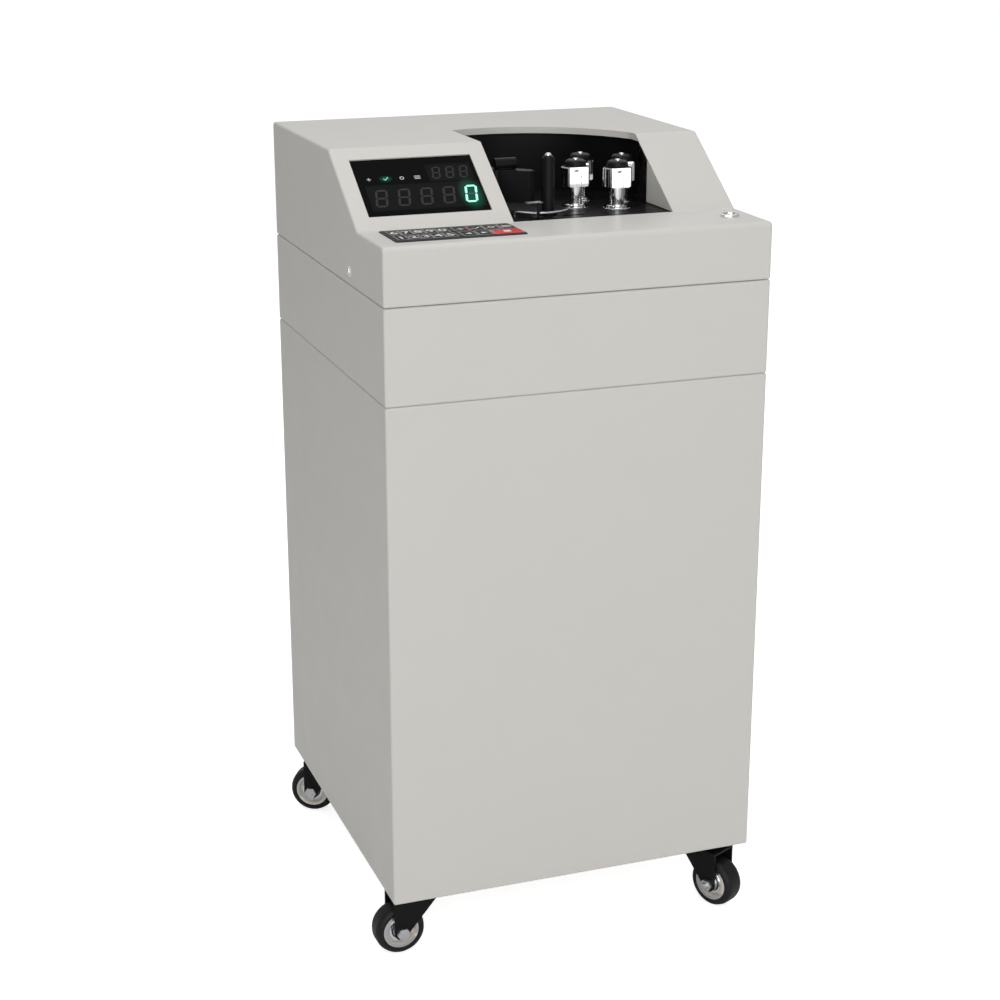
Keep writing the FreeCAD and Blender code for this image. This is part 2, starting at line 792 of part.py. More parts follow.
def make_spindle(index):
    x, y = spindle_place(index)
    collar_z = table_top + fit
    stem_z = collar_z + collar_height
    head_z = stem_z + stem_height
    head_top = head_z + head_height
    body = turned([(0, gear_z), (spindle_shaft_radius, gear_z), (spindle_shaft_radius, collar_z),
                   (collar_radius, collar_z), (collar_radius, stem_z - 1), (collar_radius - 1, stem_z),
                   (stem_radius, stem_z), (stem_radius, head_z), (head_radius - 1, head_z),
                   (head_radius, head_z + 1), (head_radius, head_top - 1), (head_radius - 1, head_top),
                   (0, head_top)], x, y)
    flat = y - head_flat
    body = body.cut(box(x - head_radius, x + head_radius, y - head_radius - 1, flat,
                        head_z - 1, head_top + 1))
    mouth_z = head_top - mouth_drop
    half = mouth_width / 2
    body = body.cut(box(x - half, x + half, flat - 1, flat + mouth_depth, mouth_z, mouth_z + mouth_height))
    for hole in range(suction_hole_count):
        z = mouth_z - suction_hole_pitch * (hole + 0.8)
        body = body.cut(along_y(suction_hole_radius, x + suction_hole_shift, flat - 1, flat + mouth_depth, z))
    ratio = sun_teeth / planet_teeth
    turn = math.pi + spindle_angle(index) * (1 + ratio) + math.pi / planet_teeth
    pinion = gear(planet_teeth, spindle_shaft_radius, turn)
    pinion.translate(V(x, y, gear_z))
    save("spindle_%d" % (index + 1), body, pinion)
    crown = head_top + cap_height
    cap = turned([(0, head_top), (cap_radius, head_top), (cap_radius, crown - 3),
                  (cap_radius - 1, crown - 1.2), (cap_radius - 3, crown), (0, crown)], x, y)
    save("spindle_cap_%d" % (index + 1), cap)


def make_bearing():
    sun_z = gear_z
    housing = turned([(turret_shaft_radius + running, deck_top), (flange_radius, deck_top),
                      (flange_radius, deck_top + flange_height),
                      (sleeve_radius + 6, deck_top + flange_height),
                      (sleeve_radius, deck_top + flange_height + 14), (sleeve_radius, sun_z - 24),
                      (sleeve_radius - 11, sun_z - 12), (sleeve_radius - 11, sun_z),
                      (turret_shaft_radius + running, sun_z)], turret_x, turret_y)
    save("bearing_housing", housing)
    sun = gear(sun_teeth, turret_shaft_radius + 0.5, 0.0)
    sun.translate(V(turret_x, turret_y, sun_z))
    save("sun_gear", sun)


def belt_heading():
    return math.degrees(math.atan2(motor_offset_y, motor_offset_x))


def belt_path(grow):
    # straight runs tangent to both pulleys, closed by an arc round each
    start = V(turret_x, turret_y, 0)
    end = V(motor_x, motor_y, 0)
    along = end - start
    span = along.Length
    heading = math.atan2(along.y, along.x)
    lean = math.acos((turret_pulley_radius - motor_pulley_radius) / span)

    def at(centre, radius, angle):
        return centre + V(radius * math.cos(angle), radius * math.sin(angle), 0)

    big = turret_pulley_radius + grow
    small = motor_pulley_radius + grow
    big_left, big_back, big_right = [at(start, big, heading + turn) for turn in (lean, math.pi, -lean)]
    small_left, small_tip, small_right = [at(end, small, heading + turn) for turn in (lean, 0.0, -lean)]
    wire = Part.Wire([Part.Arc(big_left, big_back, big_right).toShape(),
                      Part.LineSegment(big_right, small_right).toShape(),
                      Part.Arc(small_right, small_tip, small_left).toShape(),
                      Part.LineSegment(small_left, big_left).toShape()])
    return Part.Face(wire)


def make_drive():
    top = pulley_z + pulley_width
    belt_z = pulley_z + (pulley_width - belt_width) / 2
    belt = belt_path(0.15 + belt_thickness).cut(belt_path(0.15))
    belt.translate(V(0, 0, belt_z))
    save("drive_belt", belt.extrude(V(0, 0, belt_width)))
    shaft = upright(motor_shaft_radius, motor_x, motor_y, pulley_z - 10, top)
    pulley = pulley_body(motor_pulley_radius, motor_shaft_radius, motor_x, motor_y, pulley_z, top)
    save("motor_pulley", shaft, pulley)
    face = pulley_z - 4
    foot = face - motor_length
    body = turned([(0, foot), (motor_radius - 4, foot), (motor_radius, foot + 4), (motor_radius, face - 12),
                   (motor_radius + 3, face - 12), (motor_radius + 3, face),
                   (motor_shaft_radius + running, face), (motor_shaft_radius + running, pulley_z - 10 - fit),
                   (0, pulley_z - 10 - fit)], motor_x, motor_y)
    posts = []
    for quarter in range(4):
        angle = math.radians(45 + 90 * quarter)
        x = motor_x + (motor_radius - 3) * math.cos(angle)
        y = motor_y + (motor_radius - 3) * math.sin(angle)
        posts.append(upright(4.0, x, y, face, deck_z))
    body = body.fuse(posts)
    body.rotate(V(motor_x, motor_y, 0), V(0, 0, 1), belt_heading())
    save("drive_motor", body.removeSplitter())


def make_union():
    top = pulley_z - fit
    foot = top - union_height
    half = union_size / 2
    block = box(turret_x - half, turret_x + half, turret_y - half, turret_y + half, foot, top)
    block = soften_uprights(block, 5.0)
    rods = []
    reach = turret_pulley_radius + 2 + belt_thickness + 7
    for sign in (-1, 1):
        # each rod stands on the side away from the belt
        ear = box(0, reach, -6, 6, foot, foot + 8)
        for shape in (ear, upright(6.0, reach, 0, foot, foot + 8), upright(4.0, reach, 0, foot, deck_z)):
            shape.rotate(V(0, 0, 0), V(0, 0, 1), belt_heading() + sign * 110.0)
            shape.translate(V(turret_x, turret_y, 0))
            rods.append(shape)
    bore = upright(turret_shaft_radius + running, turret_x, turret_y, top - 10 - fit, top + 1)
    barb = upright(port_radius, turret_x, turret_y, foot - port_length, foot)
    save("rotary_union", block.fuse(rods + [barb]).cut(bore).removeSplitter())


def clamp_axis():
    return well_right + clamp_x - turret_from_right, bend_y + clamp_back


def make_note_parts():
    x = turret_x + post_x
    y = bend_y + post_back
    crown = table_top + post_height
    post = turned([(0, table_top), (post_radius + 4, table_top), (post_radius + 4, table_top + 3),
                   (post_radius, table_top + 5), (post_radius, crown - 3), (post_radius - 2.5, crown),
                   (0, crown)], x, y)
    screw = turned([(0, crown), (3.6, crown), (3.2, crown + 1.4), (1.6, crown + 2.4), (0, crown + 2.6)],
                   x, y)
    save("note_post", post, screw)
    leg_x = x - 20.0
    leg_y = bend_y + 14.0
    leg = box(leg_x - 1.5, leg_x + 1.5, leg_y, leg_y + 1.2, table_top, table_top + 16)
    shelf = box(leg_x - 12, leg_x + 5, leg_y, leg_y + 9, table_top + 16, table_top + 17.2)
    foot = box(leg_x - 6, leg_x + 6, leg_y, leg_y + 9, table_top, table_top + 1.2)
    save("note_guides", leg.fuse([shelf, foot]).removeSplitter(), guide_wire(x, y))
    sx, sy = clamp_axis()
    low = table_top + clamp_lift
    high = low + clamp_height
    shaft = upright(clamp_shaft_radius, sx, sy, deck_top + solenoid_height / 2 + fit, low + 4)
    jaw_top = high - 2 * roller_radius
    boss = upright(clamp_shaft_radius + 5, sx, sy, low, jaw_top)
    jaw = [V(sx - 5, sy - 7, low), V(sx + clamp_reach, sy - clamp_depth, low),
           V(sx + clamp_reach, sy - clamp_depth + 16, low), V(sx + 5, sy + 7, low)]
    jaw = soften_uprights(prism(jaw, V(0, 0, jaw_top - low)), 1.5)
    pad = box(sx + clamp_reach, sx + clamp_reach + 4, sy - clamp_depth + 2, sy - clamp_depth + 14,
              low, jaw_top)
    block = shaft.fuse([boss, jaw]).removeSplitter()
    roller = along_x(roller_radius, sx - 4, sx - 4 + roller_length, sy - 7, high - roller_radius + running)
    saddle = box(sx, sx + roller_length - 8, sy - 11, sy - 3, jaw_top, high - roller_radius).cut(roller)
    save("note_clamp", block, pad, roller, saddle)
    bore = clamp_shaft_radius + running
    coil_top = deck_top + solenoid_height
    coil = turned([(bore, deck_top + solenoid_height / 2), (0, deck_top + solenoid_height / 2), (0, deck_top),
                   (solenoid_radius + 5, deck_top), (solenoid_radius + 5, deck_top + 4),
                   (solenoid_radius, deck_top + 4), (solenoid_radius, coil_top - 3),
                   (solenoid_radius - 3, coil_top), (bore, coil_top)], sx, sy)
    save("clamp_solenoid", coil)


def rod(route, radius):
    # round bar along straight runs and arcs that meet without a corner
    runs = []
    for edge in route:
        heading = edge.tangentAt(edge.FirstParameter)
        section = Part.Circle(edge.valueAt(edge.FirstParameter), heading, radius)
        section = Part.Face(Part.Wire(section.toShape()))
        if isinstance(edge.Curve, Part.Circle):
            turn = math.degrees(edge.LastParameter - edge.FirstParameter)
            runs.append(section.revolve(edge.Curve.Center, edge.Curve.Axis, turn))
        else:
            runs.append(section.extrude(heading * edge.Length))
    return runs[0].fuse(runs[1:]).removeSplitter()


def guide_wire(x, y):
    # bent wire with one leg in the table, sweeping round in front of the post
    level = table_top + wire_lift
    start = V(x - wire_left, y - wire_front, table_top)
    corner = V(start.x, start.y, level)
    heading = V(math.cos(math.radians(wire_heading)), -math.sin(math.radians(wire_heading)), 0)
    bend = wire_bend * (1 - math.cos(math.radians(45)))
    lift = Part.LineSegment(start, corner - V(0, 0, wire_bend)).toShape()
    first = corner + heading * wire_bend
    knee = Part.Arc(corner - V(0, 0, wire_bend), corner - V(0, 0, bend) + heading * bend, first).toShape()
    end = V(x + wire_right, y + wire_back, level)
    chord = end - first
    side = V(chord.y, -chord.x, 0)
    side.normalize()
    # the sweep leaves the knee along its heading
    lean = chord.getAngle(heading)
    bow = chord.Length / 2 * math.tan(lean / 2)
    sweep = Part.Arc(first, first + chord * 0.5 + side * bow, end).toShape()
    return rod([lift, knee, sweep], wire_radius)


def caster_places():
    x = side_x - caster_inset_x
    y = back_y - caster_inset_y
    return {"front_left": (-x, -y), "front_right": (x, -y), "rear_left": (-x, y), "rear_right": (x, y)}


def caster_bolt_places(x, y):
    reach = caster_plate_size / 2 - caster_bolt_inset
    return [(x + sx * reach, y + sy * reach) for sx in (-1, 1) for sy in (-1, 1)]


def crown_levels():
    top = caster_height - caster_plate_thickness - race_height - fit
    return top - crown_thickness, top


def make_casters():
    plates = []
    crown_z, crown_top = crown_levels()
    for name, (x, y) in caster_places().items():
        half = caster_plate_size / 2
        top_plate = box(x - half, x + half, y - half, y + half,
                        caster_height - caster_plate_thickness, caster_height)
        top_plate = soften_uprights(top_plate, 6.0)
        for bolt_x, bolt_y in caster_bolt_places(x, y):
            top_plate = top_plate.cut(upright(caster_bolt_radius, bolt_x, bolt_y, 0, caster_height + 1))
        race = upright(race_radius, x, y, crown_top + fit, caster_height - caster_plate_thickness)
        head_z = crown_z - fit - king_head_height
        pin = upright(king_pin_radius, x, y, head_z, caster_height - caster_plate_thickness)
        head = upright(king_pin_radius + king_head_width, x, y, head_z, crown_z - fit)
        plates.append(top_plate.fuse([race, pin, head]).removeSplitter())
        make_caster(name, x, y, caster_turns[name])
    save("caster_plates", *plates)


def make_caster(name, x, y, turn):
    crown_z, crown_top = crown_levels()
    inner = wheel_width / 2 + fork_side_gap
    outer = inner + fork_wall
    far = caster_trail + fork_end_radius
    crown = box(-fork_back_reach, far, -outer, outer, crown_z, crown_top)
    crown = crown.fuse(upright(race_radius, 0, 0, crown_z, crown_top))
    arms = []
    for y0 in (-outer, inner):
        points = [V(-fork_back_reach, y0, crown_top), V(far, y0, crown_top), V(far, y0, wheel_radius),
                  V(caster_trail - fork_end_radius, y0, wheel_radius)]
        arms.append(prism(points, V(0, fork_wall, 0)))
        arms.append(along_y(fork_end_radius, caster_trail, y0, y0 + fork_wall, wheel_radius))
    fork = crown.fuse(arms).removeSplitter()
    fork = fork.cut(upright(king_pin_radius + running, 0, 0, crown_z - 1, crown_top + 1))
    fork = fork.cut(along_y(axle_radius, caster_trail, -outer - 1, outer + 1, wheel_radius))
    axle = along_y(axle_radius, caster_trail, -outer - axle_nut_height - axle_thread,
                   outer + axle_nut_height, wheel_radius)
    head = hexagon(axle_across, 0, 0, 0, axle_nut_height)
    head.rotate(V(0, 0, 0), V(1, 0, 0), -90)
    nut = head.copy()
    head.translate(V(caster_trail, outer, wheel_radius))
    nut.translate(V(caster_trail, -outer - axle_nut_height, wheel_radius))
    axle = axle.fuse([head, nut]).removeSplitter()
    rim = wheel_radius - tyre_depth
    half = wheel_width / 2
    hub = half + fork_side_gap - fit
    dish = half - wheel_dish
    seat = half - tyre_lip
    inside = rim - rim_ring
    core = [(axle_radius + running, -hub), (hub_radius, -hub), (hub_radius, -dish),
            (inside - rim_slope, -dish), (inside, -seat), (rim, -seat), (rim, seat), (inside, seat),
            (inside - rim_slope, dish), (hub_radius, dish), (hub_radius, hub), (axle_radius + running, hub)]
    core = turned(core)
    shoulder = wheel_radius - shoulder_drop
    side = wheel_radius - crown_drop
    tread = [(rim, -seat), (rim + tyre_lip, -half), (shoulder, -half), (side, shoulder_width - half),
             (wheel_radius, crown_width - half), (wheel_radius, half - crown_width),
             (side, half - shoulder_width), (shoulder, half), (rim + tyre_lip, half), (rim, seat)]
    tread = turned(tread)
    for wheel in (core, tread):
        wheel.rotate(V(0, 0, 0), V(1, 0, 0), 90)
        wheel.translate(V(caster_trail, 0, wheel_radius))
    for shape in (fork, axle, core, tread):
        shape.rotate(V(0, 0, 0), V(0, 0, 1), turn)
        shape.translate(V(x, y, 0))
    save("caster_fork_" + name, fork, axle)
    save("wheel_core_" + name, core)
    save("wheel_tyre_" + name, tread)


def make_case_screws():
    screws = []
    for x, z in rear_screw_places():
        skin = back_y + sheet
        head = Part.makeCylinder(screw_head_radius, screw_head_height, V(x, skin, z), V(0, 1, 0))
        shank = along_y(screw_radius, x, back_y - 6, skin, z)
        screws.append(head.fuse(shank).removeSplitter())
    for x, y in deck_screw_places():
        head = upright(screw_head_radius, x, y, deck_top, deck_top + screw_head_height)
        shank = upright(screw_radius, x, y, cabinet_top - sheet - 4, deck_top)
        screws.append(head.fuse(shank).removeSplitter())
    for x, y in caster_places().values():
        for bolt_x, bolt_y in caster_bolt_places(x, y):
            under = caster_height - caster_plate_thickness
            head = hexagon(caster_bolt_across, bolt_x, bolt_y, under - 3.5, under)
            shank = upright(caster_bolt_radius, bolt_x, bolt_y, under, tray_top + 6)
            nut = hexagon(caster_bolt_across, bolt_x, bolt_y, tray_top, tray_top + 4)
            screws.append(head.fuse([shank, nut]).removeSplitter())
    save("case_screws", *screws)


def pump_axis():
    return pump_shift_y, tray_top + mount_height + foot_thickness + pump_axis_rise


def make_pump():
    y, z = pump_axis()
    foot_z = tray_top + mount_height
    mounts = []
    for sx in (-1, 1):
        for sy in (-1, 1):
            mount_x = pump_shift_x + sx * (foot_length / 2 - mount_radius - 3)
            mount_y = y + sy * (foot_width / 2 - mount_radius - 3)
            mounts.append(upright(mount_radius, mount_x, mount_y, tray_top, foot_z))
    save("pump_mounts", *mounts)
    left = pump_shift_x - pump_motor_length / 2
    right = pump_shift_x + pump_motor_length / 2
    rings = [(0, 0), (pump_motor_radius - 8, 0), (pump_motor_radius - 4, 6)]
    pitch = (pump_motor_length - 2 * fin_margin) / fin_count
    for fin in range(fin_count):
        at = fin_margin + fin * pitch
        rings += [(pump_motor_radius - fin_height, at), (pump_motor_radius, at),
                  (pump_motor_radius, at + fin_width), (pump_motor_radius - fin_height, at + fin_width)]
    rings += [(pump_motor_radius - 4, pump_motor_length), (0, pump_motor_length)]
    body = turned(rings)
    body.rotate(V(0, 0, 0), V(0, 1, 0), 90)
    body.translate(V(left, y, z))
    foot = box(pump_shift_x - foot_length / 2, pump_shift_x + foot_length / 2,
               y - foot_width / 2, y + foot_width / 2, foot_z, foot_z + foot_thickness)
    saddle = box(pump_shift_x - foot_length / 3, pump_shift_x + foot_length / 3, y - pump_motor_radius / 2,
                 y + pump_motor_radius / 2, foot_z + foot_thickness, z)
    save("pump_motor", body.fuse([foot, saddle]).removeSplitter())
    head = turned([(0, 0), (pump_radius - 6, 0), (pump_radius - 6, 14), (pump_radius, 14),
                   (pump_radius, pump_length - 14), (pump_radius - 4, pump_length - 10),
                   (pump_radius - 4, pump_length - 4), (pump_radius - 8, pump_length), (0, pump_length)])
    head.rotate(V(0, 0, 0), V(0, 1, 0), 90)
    head.translate(V(right, y, z))
    inlet_x, outlet_x = pump_ports()
    top = z + pump_radius + port_length
    inlet = upright(port_radius, inlet_x, y, z, top)
    outlet = upright(port_radius, outlet_x, y, z, top)
    crown = top + muffler_height
    muffler = turned([(0, top - 6), (muffler_radius - 2, top - 6), (muffler_radius, top - 3),
                      (muffler_radius, crown - 6), (muffler_radius - 4, crown), (0, crown)], outlet_x, y)
    save("vacuum_pump", head.fuse([inlet, outlet, muffler]).removeSplitter())


def pump_ports():
    right = pump_shift_x + pump_motor_length / 2
    return right + 26.0, right + pump_length - 24.0


def filter_places():
    x = side_x - filter_inset_x
    y = front_y + filter_inset_y
    return x, y, tray_top + filter_height


def make_filter():
    x, y, top = filter_places()
    bowl = turned([(0, tray_top), (filter_radius - 8, tray_top), (filter_radius - 2, tray_top + 8),
                   (filter_radius - 2, top - 36), (filter_radius, top - 36), (filter_radius, top - 4),
                   (filter_radius - 4, top), (0, top)], x, y)
    ports = [upright(port_radius, x + sign * filter_port_spacing / 2, y, top - 2, top + port_length)
             for sign in (-1, 1)]
    save("vacuum_filter", bowl.fuse(ports).removeSplitter())


def tube(points):
    # straight runs joined by tangent arcs, with a bore that slips over the ports
    edges = []
    last = points[0]
    for before, corner, after in zip(points, points[1:], points[2:]):
        back = before - corner
        ahead = after - corner
        back.normalize()
        ahead.normalize()
        angle = back.getAngle(ahead)
        cut = hose_bend / math.tan(angle / 2)
        inward = back + ahead
        inward.normalize()
        deep = hose_bend / math.sin(angle / 2) - hose_bend
        edges.append(Part.LineSegment(last, corner + back * cut).toShape())
        edges.append(Part.Arc(corner + back * cut, corner + inward * deep, corner + ahead * cut).toShape())
        last = corner + ahead * cut
    edges.append(Part.LineSegment(last, points[-1]).toShape())
    return rod(edges, port_radius + hose_wall).cut(rod(edges, port_radius))


def make_hoses():
    y, z = pump_axis()
    inlet_x, outlet_x = pump_ports()
    x, filter_y, top = filter_places()
    pump_top = z + pump_radius + port_length
    near = x - filter_port_spacing / 2
    far = x + filter_port_spacing / 2
    arch = max(pump_top, top + port_length) + 2 * hose_bend
    short = [V(inlet_x, y, pump_top - hose_grip), V(inlet_x, y, arch), V(near, filter_y, arch),
             V(near, filter_y, top + port_length - hose_grip)]
    barb = pulley_z - fit - union_height - port_length
    long = [V(far, filter_y, top + port_length - hose_grip), V(far, filter_y, barb - 4 * hose_bend),
            V(turret_x, turret_y, barb - 2 * hose_bend), V(turret_x, turret_y, barb + hose_grip)]
    save("vacuum_hose", tube(short), tube(long))


def make_electrics():
    left = -side_x + supply_inset_x
    front = front_y + supply_inset_y
    case = box(left, left + supply_length, front, front + supply_width, tray_top, tray_top + supply_height)
    case = soften_uprights(case, 3.0)
    slots = int(supply_length // 14)
    for slot in range(slots - 1):
        x = left + 12.0 + slot * 14.0
        case = case.cut(box(x, x + 5.0, front + 14, front + supply_width - 14,
                            tray_top + supply_height - 3, tray_top + supply_height + 1))
    save("power_supply", case)
    wall = -side_x + sheet
    skin = wall + board_standoff
    middle_z = (tray_top + deck_z) / 2 + board_height / 4
    board = box(skin, skin + board_thickness, -board_length / 2, board_length / 2,
                middle_z - board_height / 2, middle_z + board_height / 2)
    face = skin + board_thickness
    parts = []
    for sy in (-1, 1):
        for sz in (-1, 1):
            post_y = sy * (board_length / 2 - 8)
            post_z = middle_z + sz * (board_height / 2 - 8)
            parts.append(along_x(3.5, wall, skin, post_y, post_z))
    for y, rise, wide, tall, deep in board_blocks:
        z = middle_z + rise
        parts.append(box(face, face + deep, y - wide / 2, y + wide / 2, z - tall / 2, z + tall / 2))
    save("control_board", board.fuse(parts).removeSplitter())


def rocker_place():
    x, z = inlet_place()
    return x, back_y + sheet + inlet_flange - 3.0, z + inlet_height / 2 - 8.0 - rocker_radius - 1.0


def make_inlet():
    x, z = inlet_place()
    skin = back_y + sheet
    face = skin + inlet_flange
    half_x = inlet_width / 2
    half_z = inlet_height / 2
    flange = box(x - half_x, x + half_x, skin, face, z - half_z, z + half_z)
    body = box(x - half_x + inlet_body_margin, x + half_x - inlet_body_margin, skin - inlet_depth, skin,
               z - half_z + inlet_body_margin, z + half_z - inlet_body_margin)
    socket_z = z - half_z + 9.0 + socket_height / 2
    well = box(x - socket_width / 2, x + socket_width / 2, face - socket_depth, face + 1,
               socket_z - socket_height / 2, socket_z + socket_height / 2)
    module = flange.fuse(body).cut(well)
    pins = []
    for pin in range(pin_count):
        pin_x = x + (pin - (pin_count - 1) / 2) * pin_pitch
        pins.append(box(pin_x - 1.0, pin_x + 1.0, face - socket_depth - 2, face - pin_recess,
                        socket_z - 2, socket_z + 2))
    rx, ry, rz = rocker_place()
    reach = rocker_radius + fit
    pocket = along_x(reach, rx - rocker_width / 2 - fit, rx + rocker_width / 2 + fit, ry, rz)
    pocket = pocket.fuse(box(rx - rocker_width / 2 - fit, rx + rocker_width / 2 + fit, ry, face + 1,
                             rz - reach, rz + reach))
    axle = along_x(1.5, rx - rocker_width / 2 - fit, rx + rocker_width / 2 + fit, ry, rz)
    save("power_inlet", module.cut(pocket).fuse(pins + [axle]).removeSplitter())
    rocker = along_x(rocker_radius, rx - rocker_width / 2, rx + rocker_width / 2, ry, rz)
    lean = math.radians(rocker_tilt)
    crest = 4.5
    reach = 2 * rocker_radius
    away = [(ry + crest, rz), (ry + crest + reach * math.tan(2 * lean), rz + reach),
            (ry + 2 * reach, rz + reach), (ry + 2 * reach, rz - reach), (ry + crest, rz - reach)]
    rocker = rocker.cut(side_prism(away, rx - rocker_width, rx + rocker_width))
    rocker = rocker.cut(along_x(1.5 + running, rx - rocker_width, rx + rocker_width, ry, rz))
    save("power_rocker", rocker)


os.makedirs("parts", exist_ok=True)
make_cabinet()
make_base_tray()
make_rear_panel()
make_band()
make_deck()
make_lid_shell()
make_display()
make_keypad()
make_lock()
make_lid_screws()
make_hinges()
make_table()
make_turret()
for index in range(spindle_count):
    make_spindle(index)
make_bearing()
make_drive()
make_union()
make_note_parts()
make_casters()
make_case_screws()
make_pump()
make_filter()
make_hoses()
make_electrics()
make_inlet()
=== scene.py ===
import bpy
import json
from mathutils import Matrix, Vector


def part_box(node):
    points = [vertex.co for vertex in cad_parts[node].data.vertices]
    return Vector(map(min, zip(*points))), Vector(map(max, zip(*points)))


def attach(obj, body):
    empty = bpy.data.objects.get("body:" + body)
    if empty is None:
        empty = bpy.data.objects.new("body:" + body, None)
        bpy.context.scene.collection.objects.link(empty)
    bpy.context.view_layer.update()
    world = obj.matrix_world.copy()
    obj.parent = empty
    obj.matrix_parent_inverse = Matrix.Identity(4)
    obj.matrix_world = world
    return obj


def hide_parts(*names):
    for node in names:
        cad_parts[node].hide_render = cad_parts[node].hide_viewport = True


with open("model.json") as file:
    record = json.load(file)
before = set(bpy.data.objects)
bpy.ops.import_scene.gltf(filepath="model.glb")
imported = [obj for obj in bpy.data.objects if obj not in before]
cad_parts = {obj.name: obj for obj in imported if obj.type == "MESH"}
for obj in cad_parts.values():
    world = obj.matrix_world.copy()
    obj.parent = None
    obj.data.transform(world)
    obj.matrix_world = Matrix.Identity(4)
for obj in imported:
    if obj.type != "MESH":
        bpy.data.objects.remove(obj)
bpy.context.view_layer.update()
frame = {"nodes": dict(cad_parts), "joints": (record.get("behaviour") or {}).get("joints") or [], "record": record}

import json
import math

import bmesh
import bpy
from mathutils import Matrix, Vector

scene = bpy.context.scene
record = frame["record"]
nodeSlot = {part["node"]: part["material_slot"] for part in record["subparts"]}
nodeBody = {node: body for body, group in record["behaviour"]["bodies"].items() for node in group}
mm = 0.001
print("frame loaded,", len(nodeSlot), "nodes")


# Finishes, one look for each slot of the record
# tone and rough hold the two ends of a slow drift, drift and grain are noise scales per metre
looks = {
    "case_paint": {
        "tone": ((0.612, 0.596, 0.565), (0.632, 0.616, 0.584)), "rough": (0.36, 0.45), "drift": 7,
        "grain": 850, "grainDepth": 0.00006, "grainForce": 0.22,
    },
    "black_paint": {
        "tone": ((0.0045, 0.0045, 0.0048), (0.0075, 0.0075, 0.0078)), "rough": (0.30, 0.42),
        "drift": 22, "grain": 1500, "grainDepth": 0.00004, "grainForce": 0.25, "gloss": 0.14,
    },
    "chrome": {
        "tone": ((0.80, 0.81, 0.82), (0.90, 0.90, 0.90)), "rough": (0.045, 0.11), "drift": 40,
        "metal": 1.0, "grain": 2200, "grainDepth": 0.00001, "grainForce": 0.05,
        "streak": (500, 500, 20),
    },
    "zinc": {
        "tone": ((0.50, 0.51, 0.52), (0.68, 0.69, 0.70)), "rough": (0.24, 0.42), "drift": 120,
        "metal": 1.0, "grain": 1600, "grainDepth": 0.00003, "grainForce": 0.18,
    },
    "aluminium": {
        "tone": ((0.62, 0.63, 0.64), (0.74, 0.75, 0.76)), "rough": (0.26, 0.38), "drift": 60,
        "metal": 1.0, "grain": 900, "grainDepth": 0.00003, "grainForce": 0.2,
        "streak": (60, 60, 900),
    },
    "tyre": {
        "tone": ((0.008, 0.008, 0.0085), (0.014, 0.014, 0.0145)), "rough": (0.34, 0.48),
        "drift": 60, "grain": 1400, "grainDepth": 0.00006, "grainForce": 0.3, "gloss": 0.22,
    },
    "wheel_core": {
        "tone": ((0.72, 0.65, 0.56), (0.80, 0.74, 0.66)), "rough": (0.34, 0.46), "drift": 55,
        "grain": 1200, "grainDepth": 0.00003, "grainForce": 0.2, "milk": 0.12,
    },
    "black_plastic": {
        "tone": ((0.0045, 0.0045, 0.0048), (0.0075, 0.0075, 0.0078)), "rough": (0.32, 0.46),
        "drift": 50, "grain": 2400, "grainDepth": 0.00005, "grainForce": 0.3, "gloss": 0.18,
    },
    "smoked_window": {
        "tone": ((0.0035, 0.0037, 0.0037), (0.0050, 0.0052, 0.0052)), "rough": (0.05, 0.10),
        "drift": 18, "grain": 300, "grainDepth": 0.00001, "grainForce": 0.04, "gloss": 0.05,
    },
    "keypad_film": {
        "tone": ((0.017, 0.017, 0.0165), (0.023, 0.023, 0.022)), "rough": (0.40, 0.52), "drift": 45,
        "grain": 3000, "grainDepth": 0.00003, "grainForce": 0.35, "gloss": 0.1,
    },
    "circuit_board": {
        "tone": ((0.010, 0.075, 0.032), (0.018, 0.115, 0.050)), "rough": (0.28, 0.40), "drift": 260,
        "grain": 700, "grainDepth": 0.00005, "grainForce": 0.3,
    },
    "hose_rubber": {
        "tone": ((0.018, 0.018, 0.019), (0.030, 0.030, 0.031)), "rough": (0.48, 0.62), "drift": 40,
        "grain": 1300, "grainDepth": 0.00005, "grainForce": 0.3,
    },
    "motor_paint": {
        "tone": ((0.055, 0.070, 0.090), (0.090, 0.108, 0.132)), "rough": (0.30, 0.46), "drift": 160,
        "grain": 320, "grainDepth": 0.00015, "grainForce": 0.4,
    },
    "cast_iron": {
        "tone": ((0.060, 0.063, 0.067), (0.100, 0.104, 0.108)), "rough": (0.42, 0.60), "drift": 90,
        "grain": 480, "grainDepth": 0.0002, "grainForce": 0.5,
    },
    "filter_bowl": {
        "tone": ((0.10, 0.13, 0.16), (0.15, 0.18, 0.22)), "rough": (0.16, 0.28), "drift": 40,
        "grain": 700, "grainDepth": 0.00002, "grainForce": 0.15,
    },
}


def mixTone(nodes, links, factor, ends):
    tone = nodes.new("ShaderNodeMix")
    tone.data_type = "RGBA"
    tone.inputs[6].default_value = (*ends[0], 1)
    tone.inputs[7].default_value = (*ends[1], 1)
    links.new(factor, tone.inputs[0])
    return tone.outputs[2]


noiseLook = {"driftDetail": 5, "glossDetail": 6, "glossFiner": 3.3, "grainDetail": 2, "low": 0.3, "high": 0.7,
             "milkDepth": 0.003}


